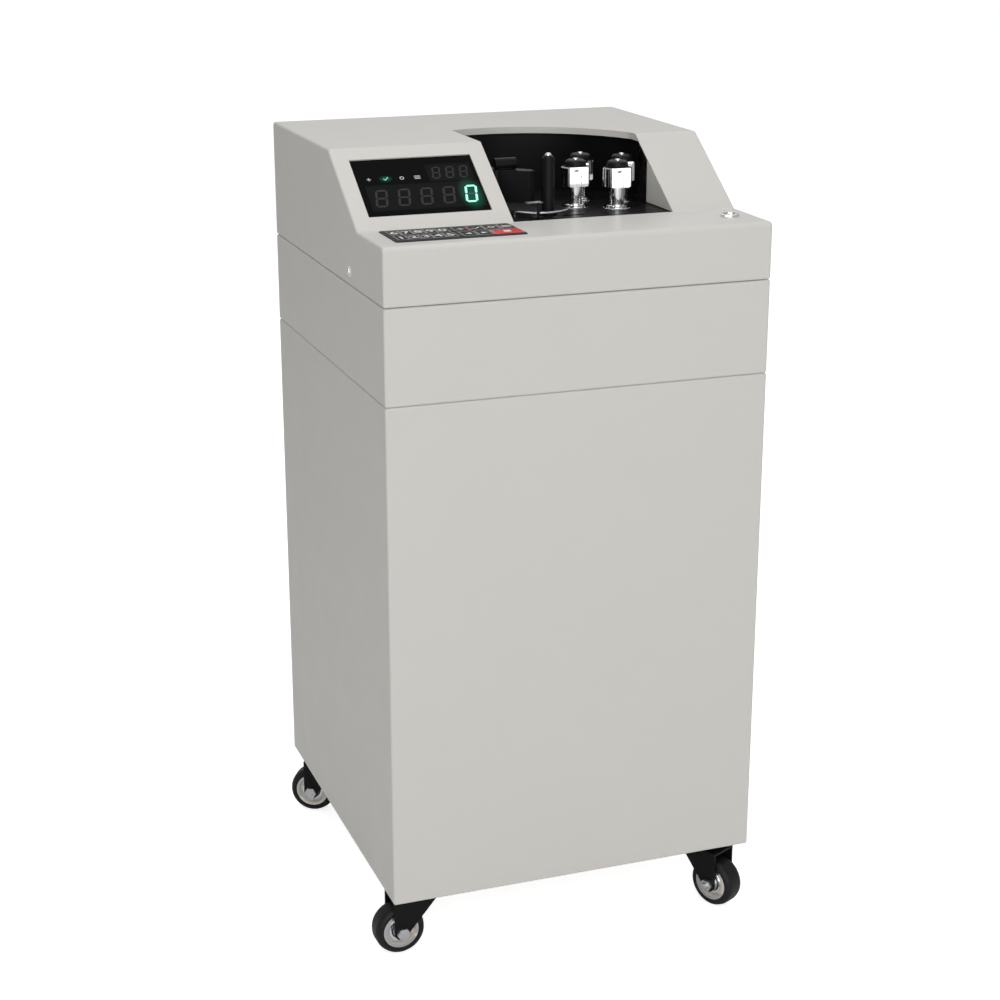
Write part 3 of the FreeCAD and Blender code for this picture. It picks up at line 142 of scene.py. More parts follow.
def makeFinish(name, look):
    mat = bpy.data.materials.new(name)
    mat.use_nodes = True
    nodes = mat.node_tree.nodes
    links = mat.node_tree.links
    shader = nodes["Principled BSDF"]
    shader.inputs["Metallic"].default_value = look.get("metal", 0.0)
    shader.inputs["Specular IOR Level"].default_value = look.get("gloss", 0.5)
    shader.inputs["Subsurface Weight"].default_value = look.get("milk", 0.0)
    shader.inputs["Subsurface Scale"].default_value = noiseLook["milkDepth"]
    place = nodes.new("ShaderNodeTexCoord").outputs["Object"]
    drift = nodes.new("ShaderNodeTexNoise")
    drift.inputs["Scale"].default_value = look["drift"]
    drift.inputs["Detail"].default_value = noiseLook["driftDetail"]
    links.new(place, drift.inputs["Vector"])
    links.new(mixTone(nodes, links, drift.outputs["Fac"], look["tone"]), shader.inputs["Base Color"])
    gloss = nodes.new("ShaderNodeTexNoise")
    gloss.inputs["Scale"].default_value = look["drift"] * noiseLook["glossFiner"]
    gloss.inputs["Detail"].default_value = noiseLook["glossDetail"]
    if "streak" in look:
        stretch = nodes.new("ShaderNodeMapping")  # drawn out along the polish
        stretch.inputs["Scale"].default_value = look["streak"]
        gloss.inputs["Scale"].default_value = 1
        links.new(place, stretch.inputs["Vector"])
        links.new(stretch.outputs["Vector"], gloss.inputs["Vector"])
    else:
        links.new(place, gloss.inputs["Vector"])
    rough = nodes.new("ShaderNodeMapRange")
    rough.inputs["From Min"].default_value = noiseLook["low"]
    rough.inputs["From Max"].default_value = noiseLook["high"]
    rough.inputs["To Min"].default_value = look["rough"][0]
    rough.inputs["To Max"].default_value = look["rough"][1]
    links.new(gloss.outputs["Fac"], rough.inputs["Value"])
    links.new(rough.outputs["Result"], shader.inputs["Roughness"])
    grain = nodes.new("ShaderNodeTexNoise")
    grain.inputs["Scale"].default_value = look["grain"]
    grain.inputs["Detail"].default_value = noiseLook["grainDetail"]
    links.new(place, grain.inputs["Vector"])
    bump = nodes.new("ShaderNodeBump")
    bump.inputs["Strength"].default_value = look["grainForce"]
    bump.inputs["Distance"].default_value = look["grainDepth"]
    links.new(grain.outputs["Fac"], bump.inputs["Height"])
    links.new(bump.outputs["Normal"], shader.inputs["Normal"])
    return mat


finishes = {slot: makeFinish(slot, look) for slot, look in looks.items()}


# Looks that only the small added pieces use
smallLooks = {
    "ledGhost": {
        "tone": ((0.036, 0.037, 0.036), (0.046, 0.047, 0.046)), "rough": (0.06, 0.12), "drift": 90,
        "grain": 400, "grainDepth": 0.00001, "grainForce": 0.05, "gloss": 0.05,
    },
    "ledModule": {
        "tone": ((0.0085, 0.0088, 0.0086), (0.0110, 0.0114, 0.0112)), "rough": (0.06, 0.12),
        "drift": 60, "grain": 400, "grainDepth": 0.00001, "grainForce": 0.05, "gloss": 0.05,
    },
    "printWhite": {
        "tone": ((0.78, 0.78, 0.77), (0.88, 0.88, 0.87)), "rough": (0.40, 0.52), "drift": 300,
        "grain": 3000, "grainDepth": 0.00002, "grainForce": 0.2, "gloss": 0.1,
    },
    "printGrey": {
        "tone": ((0.44, 0.44, 0.43), (0.54, 0.54, 0.53)), "rough": (0.40, 0.52), "drift": 300,
        "grain": 3000, "grainDepth": 0.00002, "grainForce": 0.2, "gloss": 0.1,
    },
    "keyBlack": {
        "tone": ((0.007, 0.007, 0.007), (0.011, 0.011, 0.011)), "rough": (0.40, 0.52), "drift": 70,
        "grain": 3000, "grainDepth": 0.00003, "grainForce": 0.3, "gloss": 0.08,
    },
    "keyRed": {
        "tone": ((0.62, 0.022, 0.018), (0.72, 0.034, 0.026)), "rough": (0.40, 0.52), "drift": 70,
        "grain": 3000, "grainDepth": 0.00003, "grainForce": 0.3, "gloss": 0.1,
    },
    "brass": {
        "tone": ((0.66, 0.47, 0.20), (0.76, 0.57, 0.28)), "rough": (0.20, 0.34), "drift": 200,
        "metal": 1.0, "grain": 1500, "grainDepth": 0.00002, "grainForce": 0.15,
    },
    "bearingSeal": {
        "tone": ((0.010, 0.010, 0.011), (0.020, 0.020, 0.021)), "rough": (0.30, 0.45), "drift": 200,
        "grain": 1500, "grainDepth": 0.00003, "grainForce": 0.2,
    },
}
finishes.update({name: makeFinish(name, look) for name, look in smallLooks.items()})


# Lit numbers and signs; the pale signs of the unlit lamps also glow faintly, which is a painted glow
litLooks = {
    "ledLit": {"glow": (0.40, 1.0, 0.76), "strength": 1.25, "body": (0.02, 0.10, 0.06)},
    "markLit": {"glow": (0.40, 1.0, 0.60), "strength": 0.9, "body": (0.02, 0.10, 0.06)},
    # pale signs of unlit lamps: their faint emission is a painted glow, since these marks are no lamp
    "markPaintedGlow": {"glow": (0.80, 0.82, 0.80), "strength": 0.42, "body": (0.30, 0.30, 0.30)},
}
litSurface = {"rough": (0.08, 0.14), "drift": 120, "grain": 500, "grainDepth": 0.00001, "grainForce": 0.05}


def makeLit(name, look):
    mat = makeFinish(name, {"tone": (look["body"], look["body"]), **litSurface})
    shader = mat.node_tree.nodes["Principled BSDF"]
    shader.inputs["Emission Color"].default_value = (*look["glow"], 1)
    shader.inputs["Emission Strength"].default_value = look["strength"]
    return mat


finishes.update({name: makeLit(name, look) for name, look in litLooks.items()})

# Sloped front of the lid, where the display sits
lidFace = {"bendY": -0.126, "ledgeZ": 0.7874, "rise": 0.069, "run": 0.103, "windowDepth": -1.5}
slantAngle = math.atan2(lidFace["rise"], lidFace["run"])
slantFoot = Matrix.Translation((0, lidFace["bendY"], lidFace["ledgeZ"]))
slantPlace = slantFoot @ Matrix.Rotation(slantAngle, 4, "X")

# Green light that spreads in the dark window round the lit number and the lit lamp
glowSpots = ({"at": (-74.1, 47.7), "reach": (8.5, 15.0)}, {"at": (-159.5, 76.5), "reach": (4.6, 2.9)})
glowLook = {"colour": (0.004, 0.075, 0.043), "near": 0.55, "far": 1.85, "depth": 10}


def addGlow(mat):
    nodes = mat.node_tree.nodes
    links = mat.node_tree.links
    shader = nodes["Principled BSDF"]
    place = nodes.new("ShaderNodeTexCoord").outputs["Object"]
    total = None
    for spot in glowSpots:
        centred = nodes.new("ShaderNodeMapping")
        centred.vector_type = "TEXTURE"
        centre = Vector((*spot["at"], lidFace["windowDepth"])) * mm
        centred.inputs["Location"].default_value = slantPlace @ centre
        centred.inputs["Rotation"].default_value = (slantAngle, 0, 0)
        centred.inputs["Scale"].default_value = Vector((*spot["reach"], glowLook["depth"])) * mm
        links.new(place, centred.inputs["Vector"])
        away = nodes.new("ShaderNodeVectorMath")
        away.operation = "LENGTH"
        links.new(centred.outputs["Vector"], away.inputs[0])
        fade = nodes.new("ShaderNodeMapRange")
        fade.interpolation_type = "SMOOTHSTEP"
        fade.inputs["From Min"].default_value = glowLook["near"]
        fade.inputs["From Max"].default_value = glowLook["far"]
        fade.inputs["To Min"].default_value = 1
        fade.inputs["To Max"].default_value = 0
        links.new(away.outputs["Value"], fade.inputs["Value"])
        if total is None:
            total = fade.outputs["Result"]
        else:
            both = nodes.new("ShaderNodeMath")
            both.operation = "MAXIMUM"
            links.new(total, both.inputs[0])
            links.new(fade.outputs["Result"], both.inputs[1])
            total = both.outputs[0]
    glow = mixTone(nodes, links, total, ((0, 0, 0), glowLook["colour"]))
    links.new(glow, shader.inputs["Emission Color"])
    shader.inputs["Emission Strength"].default_value = 1


for name in ("smoked_window", "ledModule", "ledGhost"):
    addGlow(finishes[name])
print("finishes made,", len(finishes))


def newPiece(name, bm, mats, body, smooth=None):
    bmesh.ops.recalc_face_normals(bm, faces=bm.faces)
    mesh = bpy.data.meshes.new(name)
    bm.to_mesh(mesh)
    bm.free()
    for mat in mats:
        mesh.materials.append(finishes[mat])
    piece = bpy.data.objects.new(name, mesh)
    scene.collection.objects.link(piece)
    if smooth is not None:
        mesh.shade_smooth()
        mesh.set_sharp_from_angle(angle=math.radians(smooth))
        even = piece.modifiers.new("evenNormals", "WEIGHTED_NORMAL")
        even.keep_sharp = True
    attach(piece, body)
    return piece


# CAD nodes that are shown as they are, only with a finish
plainNodes = ["base_tray", "rear_panel", "deck_plate", "counting_table", "display_window", "display_board",
              "control_board", "power_supply"]
for name in nodeSlot:
    for place in frame["nodes"][name].material_slots:
        place.material = finishes[nodeSlot[name]]

# The other nodes get a merged copy, so that their round faces shade smoothly
roundOff = {
    "caster_fork": 0.45, "caster_plates": 0.4, "note_clamp": 0.5, "turret_disc": 0.5, "rotary_union": 0.6,
    "power_inlet": 0.5, "power_rocker": 0.5, "back_shroud": 0.3, "clamp_solenoid": 0.5, "note_guides": 0.15,
    "lid_hinge_leaves": 0.3, "band_hinge_leaves": 0.3, "keypad": 0.1, "spindle_cap": 0.3,
}
meshLook = {"weld": 0.002, "flat": 0.25, "corner": 40, "sharp": 34, "ringSharp": 30, "screwSharp": 40}


def mergedMesh(nodeName):
    bm = bmesh.new()
    bm.from_mesh(frame["nodes"][nodeName].data)
    bmesh.ops.remove_doubles(bm, verts=bm.verts, dist=meshLook["weld"] * mm)
    bmesh.ops.dissolve_limit(bm, angle_limit=math.radians(meshLook["flat"]), verts=bm.verts, edges=bm.edges)
    return bm


def roundEdges(bm, width):
    steep = math.radians(meshLook["corner"])
    corners = [edge for edge in bm.edges if len(edge.link_faces) == 2 and edge.calc_face_angle() > steep]
    bmesh.ops.bevel(bm, geom=corners, offset=width * mm, offset_type="OFFSET", segments=2, profile=0.5,
                    affect="EDGES", clamp_overlap=True, material=-1)


def smoothCopy(nodeName):
    bm = mergedMesh(nodeName)
    for start, width in roundOff.items():
        if nodeName.startswith(start):
            roundEdges(bm, width)
    slot = nodeSlot[nodeName]
    piece = newPiece(nodeName + ".round", bm, [slot], nodeBody[nodeName], meshLook["sharp"])
    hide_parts(nodeName)
    return piece


ownPieces = ["lid_screws", "case_screws"]
copies = {name: smoothCopy(name) for name in nodeSlot if name not in plainNodes + ownPieces}

# Chrome screw on top of the note post, and black under the pale shelf of the small bracket
postLook = {"screwHeight": 2.6}
guideLook = {"shelfLow": 802.3, "legBack": -110.5, "footTop": 787.7, "footBack": -102.5}
post = copies["note_post"]
post.data.materials.append(finishes["chrome"])
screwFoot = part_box("note_post")[1].z - postLook["screwHeight"] * mm
for face in post.data.polygons:
    face.material_index = 1 if face.center.z > screwFoot else 0
guides = copies["note_guides"]
guides.data.materials.append(finishes["black_paint"])
for face in guides.data.polygons:
    at = face.center / mm
    leg = at.y < guideLook["legBack"] and at.z < guideLook["shelfLow"]
    foot = at.y < guideLook["footBack"] and at.z < guideLook["footTop"]
    face.material_index = 1 if leg or foot else 0
print("smooth copies made,", len(copies))


# Caster wheels: cream core, steel sleeve and a ball bearing on each side
wheelParts = {"sleeveRadius": 9.3, "raceOut": 13.2, "raceIn": 10.2, "raceBack": 8.2, "raceFace": 9.6,
              "edge": 0.4, "sealIn": 9.05, "sealGap": 0.05, "turn": 48}
axleEnds = {"radius": 8.0, "beyond": 17.05}
casterNames = ["front_left", "front_right", "rear_left", "rear_right"]
jointOf = {joint["name"]: joint for joint in frame["joints"]}


def ringAround(bm, outline, centre, axis, steps):
    across = axis.orthogonal().normalized()
    verts = [bm.verts.new(centre + across * out * mm + axis * along * mm) for out, along in outline]
    edges = [bm.edges.new((verts[k], verts[(k + 1) % len(verts)])) for k in range(len(verts))]
    bmesh.ops.spin(bm, geom=verts + edges, cent=centre, axis=axis, angle=math.tau, steps=steps,
                   use_merge=True)
    bmesh.ops.remove_doubles(bm, verts=bm.verts, dist=meshLook["weld"] * mm)


def dressWheel(name):
    joint = jointOf["wheel_" + name]
    centre = Vector(joint["pos_m"])
    axis = Vector(joint["axis"]).normalized()
    core = copies["wheel_core_" + name]
    core.data.materials.append(finishes["zinc"])
    for face in core.data.polygons:
        away = face.center - centre
        out = (away - axis * away.dot(axis)).length
        if out < wheelParts["sleeveRadius"] * mm:
            face.material_index = 1
    fork = copies["caster_fork_" + name]
    fork.data.materials.append(finishes["zinc"])
    for face in fork.data.polygons:
        away = face.center - centre
        along = away.dot(axis)
        if abs(along) > axleEnds["beyond"] * mm and (away - axis * along).length < axleEnds["radius"] * mm:
            face.material_index = 1
    steel = bmesh.new()
    seal = bmesh.new()
    back, face, edge = wheelParts["raceBack"], wheelParts["raceFace"], wheelParts["edge"]
    low, high = wheelParts["raceIn"], wheelParts["raceOut"]
    sealIn = wheelParts["sealIn"]
    sealOut = low - wheelParts["sealGap"]
    for side in (-1, 1):
        race = [(low, side * back), (high, side * back), (high, side * (face - edge)),
                (high - edge, side * face), (low + edge, side * face), (low, side * (face - edge))]
        ringAround(steel, race, centre, axis, wheelParts["turn"])
        cover = [(sealIn, side * back), (sealOut, side * back), (sealOut, side * (face - 2 * edge)),
                 (sealIn, side * (face - 2 * edge))]
        ringAround(seal, cover, centre, axis, wheelParts["turn"])
    wheel = "wheel_" + name
    newPiece("bearing_race_" + name, steel, ["chrome"], wheel, meshLook["ringSharp"])
    newPiece("bearing_seal_" + name, seal, ["bearingSeal"], wheel, meshLook["ringSharp"])


for name in casterNames:
    dressWheel(name)
print("casters dressed")


def addBar(bm, start, end, width):
    along = (end - start).normalized()
    side = Vector((-along.y, along.x, 0)) * width / 2
    corners = [bm.verts.new(point) for point in (start - side, end - side, end + side, start + side)]
    return bm.faces.new(corners)


def addSegment(bm, start, end, width):
    # bar with pointed ends, as in a number display
    along = (end - start).normalized()
    side = Vector((-along.y, along.x, 0)) * width / 2
    tip = along * width / 2
    points = (start, start + tip - side, end - tip - side, end, end - tip + side, start + tip + side)
    return bm.faces.new([bm.verts.new(point) for point in points])


def thicken(bm, height):
    flat = list(bm.faces)
    grown = bmesh.ops.extrude_face_region(bm, geom=flat)["geom"]
    risen = [v for v in grown if isinstance(v, bmesh.types.BMVert)]
    bmesh.ops.translate(bm, verts=risen, vec=(0, 0, height))


digitLook = {
    "count": 5, "left": -177.8, "pitch": 24.25, "up": 34.9, "width": 13.4, "height": 25.6, "bar": 2.5,
    "smallCount": 3, "smallLeft": -107.9, "smallPitch": 15.05, "smallUp": 72.6, "smallWidth": 9.2,
    "smallHeight": 17.9, "smallBar": 1.75, "gap": 0.35, "lean": 0.2, "thick": 0.05, "lift": 0.03,
}
segmentEnds = {
    "a": ((0, 1), (1, 1)), "b": ((1, 1), (1, 0.5)), "c": ((1, 0.5), (1, 0)), "d": ((0, 0), (1, 0)),
    "e": ((0, 0.5), (0, 0)), "f": ((0, 1), (0, 0.5)), "g": ((0, 0.5), (1, 0.5)),
}


def addDigit(bm, left, up, width, height, bar, segments):
    inner = Vector((width - bar, height - bar, 0)) * mm
    corner = Vector((left + bar / 2, up + bar / 2, 0)) * mm
    for name in segments:
        ends = []
        for across, rise in segmentEnds[name]:
            ends.append(corner + Vector((inner.x * across + inner.y * (rise - 0.5) * digitLook["lean"],
                                         inner.y * rise, 0)))
        pull = (ends[1] - ends[0]).normalized() * digitLook["gap"] * mm
        addSegment(bm, ends[0] + pull, ends[1] - pull, bar * mm)


def layOnSlant(bm, lift):
    bm.transform(slantPlace @ Matrix.Translation((0, 0, lift * mm)))


ghost = bmesh.new()
lit = bmesh.new()
for k in range(digitLook["count"]):
    last = k == digitLook["count"] - 1
    left = digitLook["left"] + k * digitLook["pitch"]
    spot = (left, digitLook["up"], digitLook["width"], digitLook["height"], digitLook["bar"])
    addDigit(ghost, *spot, "g" if last else "abcdefg")
    if last:
        addDigit(lit, *spot, "abcdef")
for k in range(digitLook["smallCount"]):
    addDigit(ghost, digitLook["smallLeft"] + k * digitLook["smallPitch"], digitLook["smallUp"],
             digitLook["smallWidth"], digitLook["smallHeight"], digitLook["smallBar"], "abcdefg")
for bm, name, mat in ((ghost, "digits_dark", "ledGhost"), (lit, "digit_lit", "ledLit")):
    thicken(bm, digitLook["thick"] * mm)
    layOnSlant(bm, lidFace["windowDepth"] + digitLook["lift"])
    newPiece(name, bm, [mat], "lid")

# Faces of the number modules, a shade lighter than the window
moduleLook = {"large": (-184.5, -61.5, 29.5, 67.0), "small": (-113.0, -64.0, 69.0, 94.5), "thick": 0.02,
              "lift": 0.005}
modules = bmesh.new()
for left, right, low, high in (moduleLook["large"], moduleLook["small"]):
    middle = (low + high) / 2
    addBar(modules, Vector((left, middle, 0)) * mm, Vector((right, middle, 0)) * mm, (high - low) * mm)
thicken(modules, moduleLook["thick"] * mm)
layOnSlant(modules, lidFace["windowDepth"] + moduleLook["lift"])
newPiece("digit_modules", modules, ["ledModule"], "lid")
print("display made")


# Plain signs for the lamps and the keys, drawn in shares of their size
ringSides = 28


def addSign(bm, kind, x, y, size, stroke):
    def at(across, up):
        return Vector((x + across * size, y + up * size, 0)) * mm
    width = stroke * mm
    if kind == "plus":
        addBar(bm, at(-0.5, 0), at(0.5, 0), width)
        addBar(bm, at(0, -0.5), at(0, -0.09), width)
        addBar(bm, at(0, 0.09), at(0, 0.5), width)
    if kind == "tick":
        addBar(bm, at(-0.55, 0.02), at(-0.12, -0.42), width)
        addBar(bm, at(-0.16, -0.46), at(0.6, 0.5), width)
    if kind == "ring":
        rims = []
        for radius in (0.5 * size * mm, 0.5 * size * mm - width):
            place = Matrix.Translation(at(0, 0))
            rim = bmesh.ops.create_circle(bm, segments=ringSides, radius=radius, matrix=place)["verts"]
            rims += {edge for vert in rim for edge in vert.link_edges}
        bmesh.ops.bridge_loops(bm, edges=rims)
    if kind == "stack":
        for up in (-0.4, 0, 0.4):
            addBar(bm, at(-0.7, up), at(0.7, up), width)
    if kind == "left" or kind == "right":
        way = -1 if kind == "left" else 1
        corners = [at(way * 0.5, 0), at(-way * 0.35, 0.5), at(-way * 0.35, -0.5)]
        bm.faces.new([bm.verts.new(point) for point in corners])
    if kind == "bar":
        addBar(bm, at(0, -0.5), at(0, 0.5), width)
    if kind == "square":
        addBar(bm, at(-0.5, 0), at(0.5, 0), size * mm)


lampLook = {"up": 76.5, "size": 4.6, "stroke": 0.75, "places": (-177.5, -159.5, -142.0, -125.2), "lit": 1,
            "thick": 0.05, "lift": 0.03}
signs = ("plus", "tick", "ring", "stack")
pale = bmesh.new()
green = bmesh.new()
for k, kind in enumerate(signs):
    bm = green if k == lampLook["lit"] else pale
    addSign(bm, kind, lampLook["places"][k], lampLook["up"], lampLook["size"], lampLook["stroke"])
# the pale signs of the unlit lamps carry the faint painted glow
for bm, name, mat in ((pale, "mode_lamps", "markPaintedGlow"), (green, "mode_lamp_lit", "markLit")):
    thicken(bm, lampLook["thick"] * mm)
    layOnSlant(bm, lidFace["windowDepth"] + lampLook["lift"])
    newPiece(name, bm, [mat], "lid")


# Keypad: black keys with pale outlines on the dark film, numbers and plain signs
keyLook = {"left": -189.5, "front": -194.0, "depth": 23.0, "rowFront": 6.5, "rowBack": 32.5,
           "numberLeft": 5.0, "numberPitch": 12.8, "numberWidth": 11.6,
           "signLeft": 73.5, "signPitch": 16.4, "signWidth": 15.0, "corner": 1.6, "cornerSteps": 4,
           "line": 0.75, "top": 788.6, "lineThick": 0.04, "capThick": 0.05, "printThick": 0.03,
           "markLeft": 15.7, "markFront": 8.0, "markLength": 10.0, "markWidth": 2.2,
           "letter": 17.0, "bold": 0.28, "sign": 7.5, "stroke": 1.5}


def addKey(bm, x, y, width, depth):
    cap = bmesh.ops.create_grid(bm, x_segments=1, y_segments=1, size=0.5)["verts"]
    bmesh.ops.scale(bm, verts=cap, vec=(width * mm, depth * mm, 1))
    bmesh.ops.translate(bm, verts=cap, vec=((x + width / 2) * mm, (y + depth / 2) * mm, 0))
    bmesh.ops.bevel(bm, geom=cap, offset=keyLook["corner"] * mm, offset_type="OFFSET",
                    segments=keyLook["cornerSteps"], profile=0.5, affect="VERTICES", material=-1)


def addText(bm, words, size, place):
    curve = bpy.data.curves.new("numberShape", "FONT")
    curve.body = words
    curve.size = size * mm
    curve.offset = keyLook["bold"] * mm
    curve.align_x = "CENTER"
    curve.align_y = "CENTER"
    holder = bpy.data.objects.new("numberShape", curve)
    scene.collection.objects.link(holder)
    bpy.context.view_layer.update()
    shape = bpy.data.meshes.new_from_object(holder.evaluated_get(bpy.context.evaluated_depsgraph_get()))
    shape.transform(place)
    bm.from_mesh(shape)
    bpy.data.objects.remove(holder)
    bpy.data.curves.remove(curve)
    bpy.data.meshes.remove(shape)


black = bmesh.new()
red = bmesh.new()
lines = bmesh.new()
prints = bmesh.new()
keys = []
rows = (keyLook["rowFront"], keyLook["rowBack"])
for row, words in zip(rows, ("12345", "67890")):
    for column, word in enumerate(words):
        x = keyLook["numberLeft"] + column * keyLook["numberPitch"]
        keys.append((x, row, keyLook["numberWidth"], black, word))
for row, kinds in zip(rows, (("left", "right"), signs)):
    for column, kind in enumerate(kinds):
        x = keyLook["signLeft"] + column * keyLook["signPitch"]
        keys.append((x, row, keyLook["signWidth"], black, kind))
x = keyLook["signLeft"] + 2 * keyLook["signPitch"]
keys.append((x, rows[0], keyLook["signPitch"] + keyLook["signWidth"], red, "square"))
for x, y, width, bm, sign in keys:
    x += keyLook["left"]
    y += keyLook["front"]
    edge = keyLook["line"]
    addKey(lines, x, y, width, keyLook["depth"])
    addKey(bm, x + edge, y + edge, width - 2 * edge, keyLook["depth"] - 2 * edge)
    middle = (x + width / 2, y + keyLook["depth"] / 2)
    if len(sign) == 1:
        addText(prints, sign, keyLook["letter"], Matrix.Translation((middle[0] * mm, middle[1] * mm, 0)))
    else:
        addSign(prints, sign, *middle, keyLook["sign"], keyLook["stroke"])
markX = keyLook["left"] + keyLook["signLeft"] + keyLook["markLeft"]
markY = keyLook["front"] + rows[1] + keyLook["markFront"]
spot = Vector((markX, markY, 0))
tip = spot + Vector((0, keyLook["markLength"], 0))
addBar(red, spot * mm, tip * mm, keyLook["markWidth"] * mm)  # small red mark between two keys
capLift = keyLook["lineThick"]
printLift = capLift + keyLook["capThick"]
layers = ((lines, "key_lines", "printGrey", 0.0, keyLook["lineThick"]),
          (black, "keys_black", "keyBlack", capLift, keyLook["capThick"]),
          (red, "key_red", "keyRed", capLift, keyLook["capThick"]),
          (prints, "key_marks", "printWhite", printLift, keyLook["printThick"]))
for bm, name, mat, lift, height in layers:
    thicken(bm, height * mm)
    bm.transform(Matrix.Translation((0, 0, (keyLook["top"] + lift) * mm)))
    newPiece(name, bm, [mat], "lid")
print("keypad made,", len(keys), "keys")


# Screws with a cross recess, in shares of the head's radius and height
screwShape = {"sides": 28, "flat": 0.72, "arm": 0.62, "half": 0.17, "deep": 0.55, "taper": 0.7,
              "rims": ((0.90, 0.84), (1.0, 0.5), (1.0, 0.0))}


def addScrew(bm, place, radius, height):
    made = bmesh.new()
    bmesh.ops.create_circle(made, segments=screwShape["sides"], radius=radius * screwShape["flat"] * mm,
                            matrix=Matrix.Translation((0, 0, height * mm)))
    rimEdges = list(made.edges)
    arm = screwShape["arm"] * radius * mm
    half = screwShape["half"] * radius * mm
    outline = [(half, half), (half, arm), (-half, arm), (-half, half), (-arm, half), (-arm, -half),
               (-half, -half), (-half, -arm), (half, -arm), (half, -half), (arm, -half), (arm, half)]
    cross = [made.verts.new((x, y, height * mm)) for x, y in outline]
    crossEdges = [made.edges.new((cross[k], cross[(k + 1) % 12])) for k in range(12)]
    bmesh.ops.triangle_fill(made, use_beauty=True, use_dissolve=False, edges=rimEdges + crossEdges)
    sunk = bmesh.ops.extrude_edge_only(made, edges=crossEdges)["geom"]
    floor = [v for v in sunk if isinstance(v, bmesh.types.BMVert)]
    bmesh.ops.translate(made, verts=floor, vec=(0, 0, -screwShape["deep"] * height * mm))
    bmesh.ops.scale(made, verts=floor, vec=(screwShape["taper"], screwShape["taper"], 1))
    bmesh.ops.contextual_create(made, geom=[e for e in sunk if isinstance(e, bmesh.types.BMEdge)])
    ring = rimEdges
    for out, level in screwShape["rims"]:
        ring = bmesh.ops.extrude_edge_only(made, edges=ring)["geom"]
        verts = [v for v in ring if isinstance(v, bmesh.types.BMVert)]
        ring = [e for e in ring if isinstance(e, bmesh.types.BMEdge)]
        grow = out * radius * mm / verts[0].co.xy.length
        bmesh.ops.scale(made, verts=verts, vec=(grow, grow, 1))
        bmesh.ops.translate(made, verts=verts, vec=(0, 0, level * height * mm - verts[0].co.z))
    bmesh.ops.contextual_create(made, geom=ring)
    bmesh.ops.recalc_face_normals(made, faces=made.faces)
    made.transform(place)
    holder = bpy.data.meshes.new("screwShape")
    made.to_mesh(holder)
    made.free()
    bm.from_mesh(holder)
    bpy.data.meshes.remove(holder)


def facing(point, direction):
    return Matrix.Translation(point) @ Vector(direction).to_track_quat("Z", "Y").to_matrix().to_4x4()


sideScrew = {"radius": 3.7, "height": 2.0, "skin": 210.0, "proud": 0.6, "cupOut": 6.0, "cupIn": 3.6,
             "cupHeight": 1.3, "cupEdge": 0.3, "cupFoot": 0.5, "cupSlope": 1.2, "cupInner": 0.8, "turn": 40}
low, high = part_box("lid_screws")
screwY = (low.y + high.y) / 2
screwZ = (low.z + high.z) / 2
heads = bmesh.new()
cups = bmesh.new()
for way in (-1, 1):
    out = Vector((way, 0, 0))
    skin = Vector((way * sideScrew["skin"] * mm, screwY, screwZ))
    head = facing(skin + out * sideScrew["proud"] * mm, out)
    addScrew(heads, head, sideScrew["radius"], sideScrew["height"])
    inner, outer, top = sideScrew["cupIn"], sideScrew["cupOut"], sideScrew["cupHeight"]
    cup = [(inner, 0.0), (outer, 0.0), (outer - sideScrew["cupEdge"], sideScrew["cupFoot"]),
           (outer - sideScrew["cupSlope"], top), (inner + sideScrew["cupEdge"], top),
           (inner, sideScrew["cupInner"])]
    ringAround(cups, cup, skin, out, sideScrew["turn"])
lidHeads = newPiece("lid_screw_heads", heads, ["chrome"], "lid", meshLook["screwSharp"])
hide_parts("lid_screws")
newPiece("lid_screw_cups", cups, ["wheel_core"], "lid", meshLook["screwSharp"])

# Chrome screw on each spindle cap and a chrome ring round each spindle foot
capScrew = {"radius": 3.1, "height": 1.7, "ringIn": 11.4, "ringOut": 14.6, "ringHeight": 0.7,
            "ringEdge": 0.4, "ringInner": 0.3, "turn": 56}
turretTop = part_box("turret_disc")[1].z
rings = bmesh.new()
for k in range(1, 5):
    low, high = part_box("spindle_cap_%d" % k)
    middle = (low + high) / 2
    head = bmesh.new()
    addScrew(head, Matrix.Translation((middle.x, middle.y, high.z)), capScrew["radius"], capScrew["height"])
    newPiece("cap_screw_%d" % k, head, ["chrome"], "spindle_%d" % k, meshLook["screwSharp"])
    inner, outer, top = capScrew["ringIn"], capScrew["ringOut"], capScrew["ringHeight"]
    ring = [(inner, 0.0), (outer, 0.0), (outer - capScrew["ringEdge"], top),
            (inner + capScrew["ringInner"], top)]
    ringAround(rings, ring, Vector((middle.x, middle.y, turretTop)), Vector((0, 0, 1)), capScrew["turn"])
newPiece("spindle_rings", rings, ["chrome"], "turret", meshLook["ringSharp"])

# Screws of the case: the rear ones get a cross recess, the others keep the shape of their node
rearScrew = {"radius": 4.0, "height": 2.2, "front": 0.2085, "skin": 0.2165}
others = mergedMesh("case_screws")
behind = [v for v in others.verts if v.co.y > rearScrew["front"]]
acrossX = [v.co.x for v in behind]
upZ = [v.co.z for v in behind]
reach = rearScrew["radius"] * mm
columns = (min(acrossX) + reach, max(acrossX) - reach)
rows = (min(upZ) + reach, (min(upZ) + max(upZ)) / 2, max(upZ) - reach)
bmesh.ops.delete(others, geom=behind, context="VERTS")
otherScrews = newPiece("case_screws.round", others, ["zinc"], "case", meshLook["sharp"])
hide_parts("case_screws")
heads = bmesh.new()
for x in columns:
    for z in rows:
        place = facing(Vector((x, rearScrew["skin"], z)), (0, 1, 0))
        addScrew(heads, place, rearScrew["radius"], rearScrew["height"])
newPiece("rear_screw_heads", heads, ["zinc"], "case", meshLook["screwSharp"])
print("screws made")


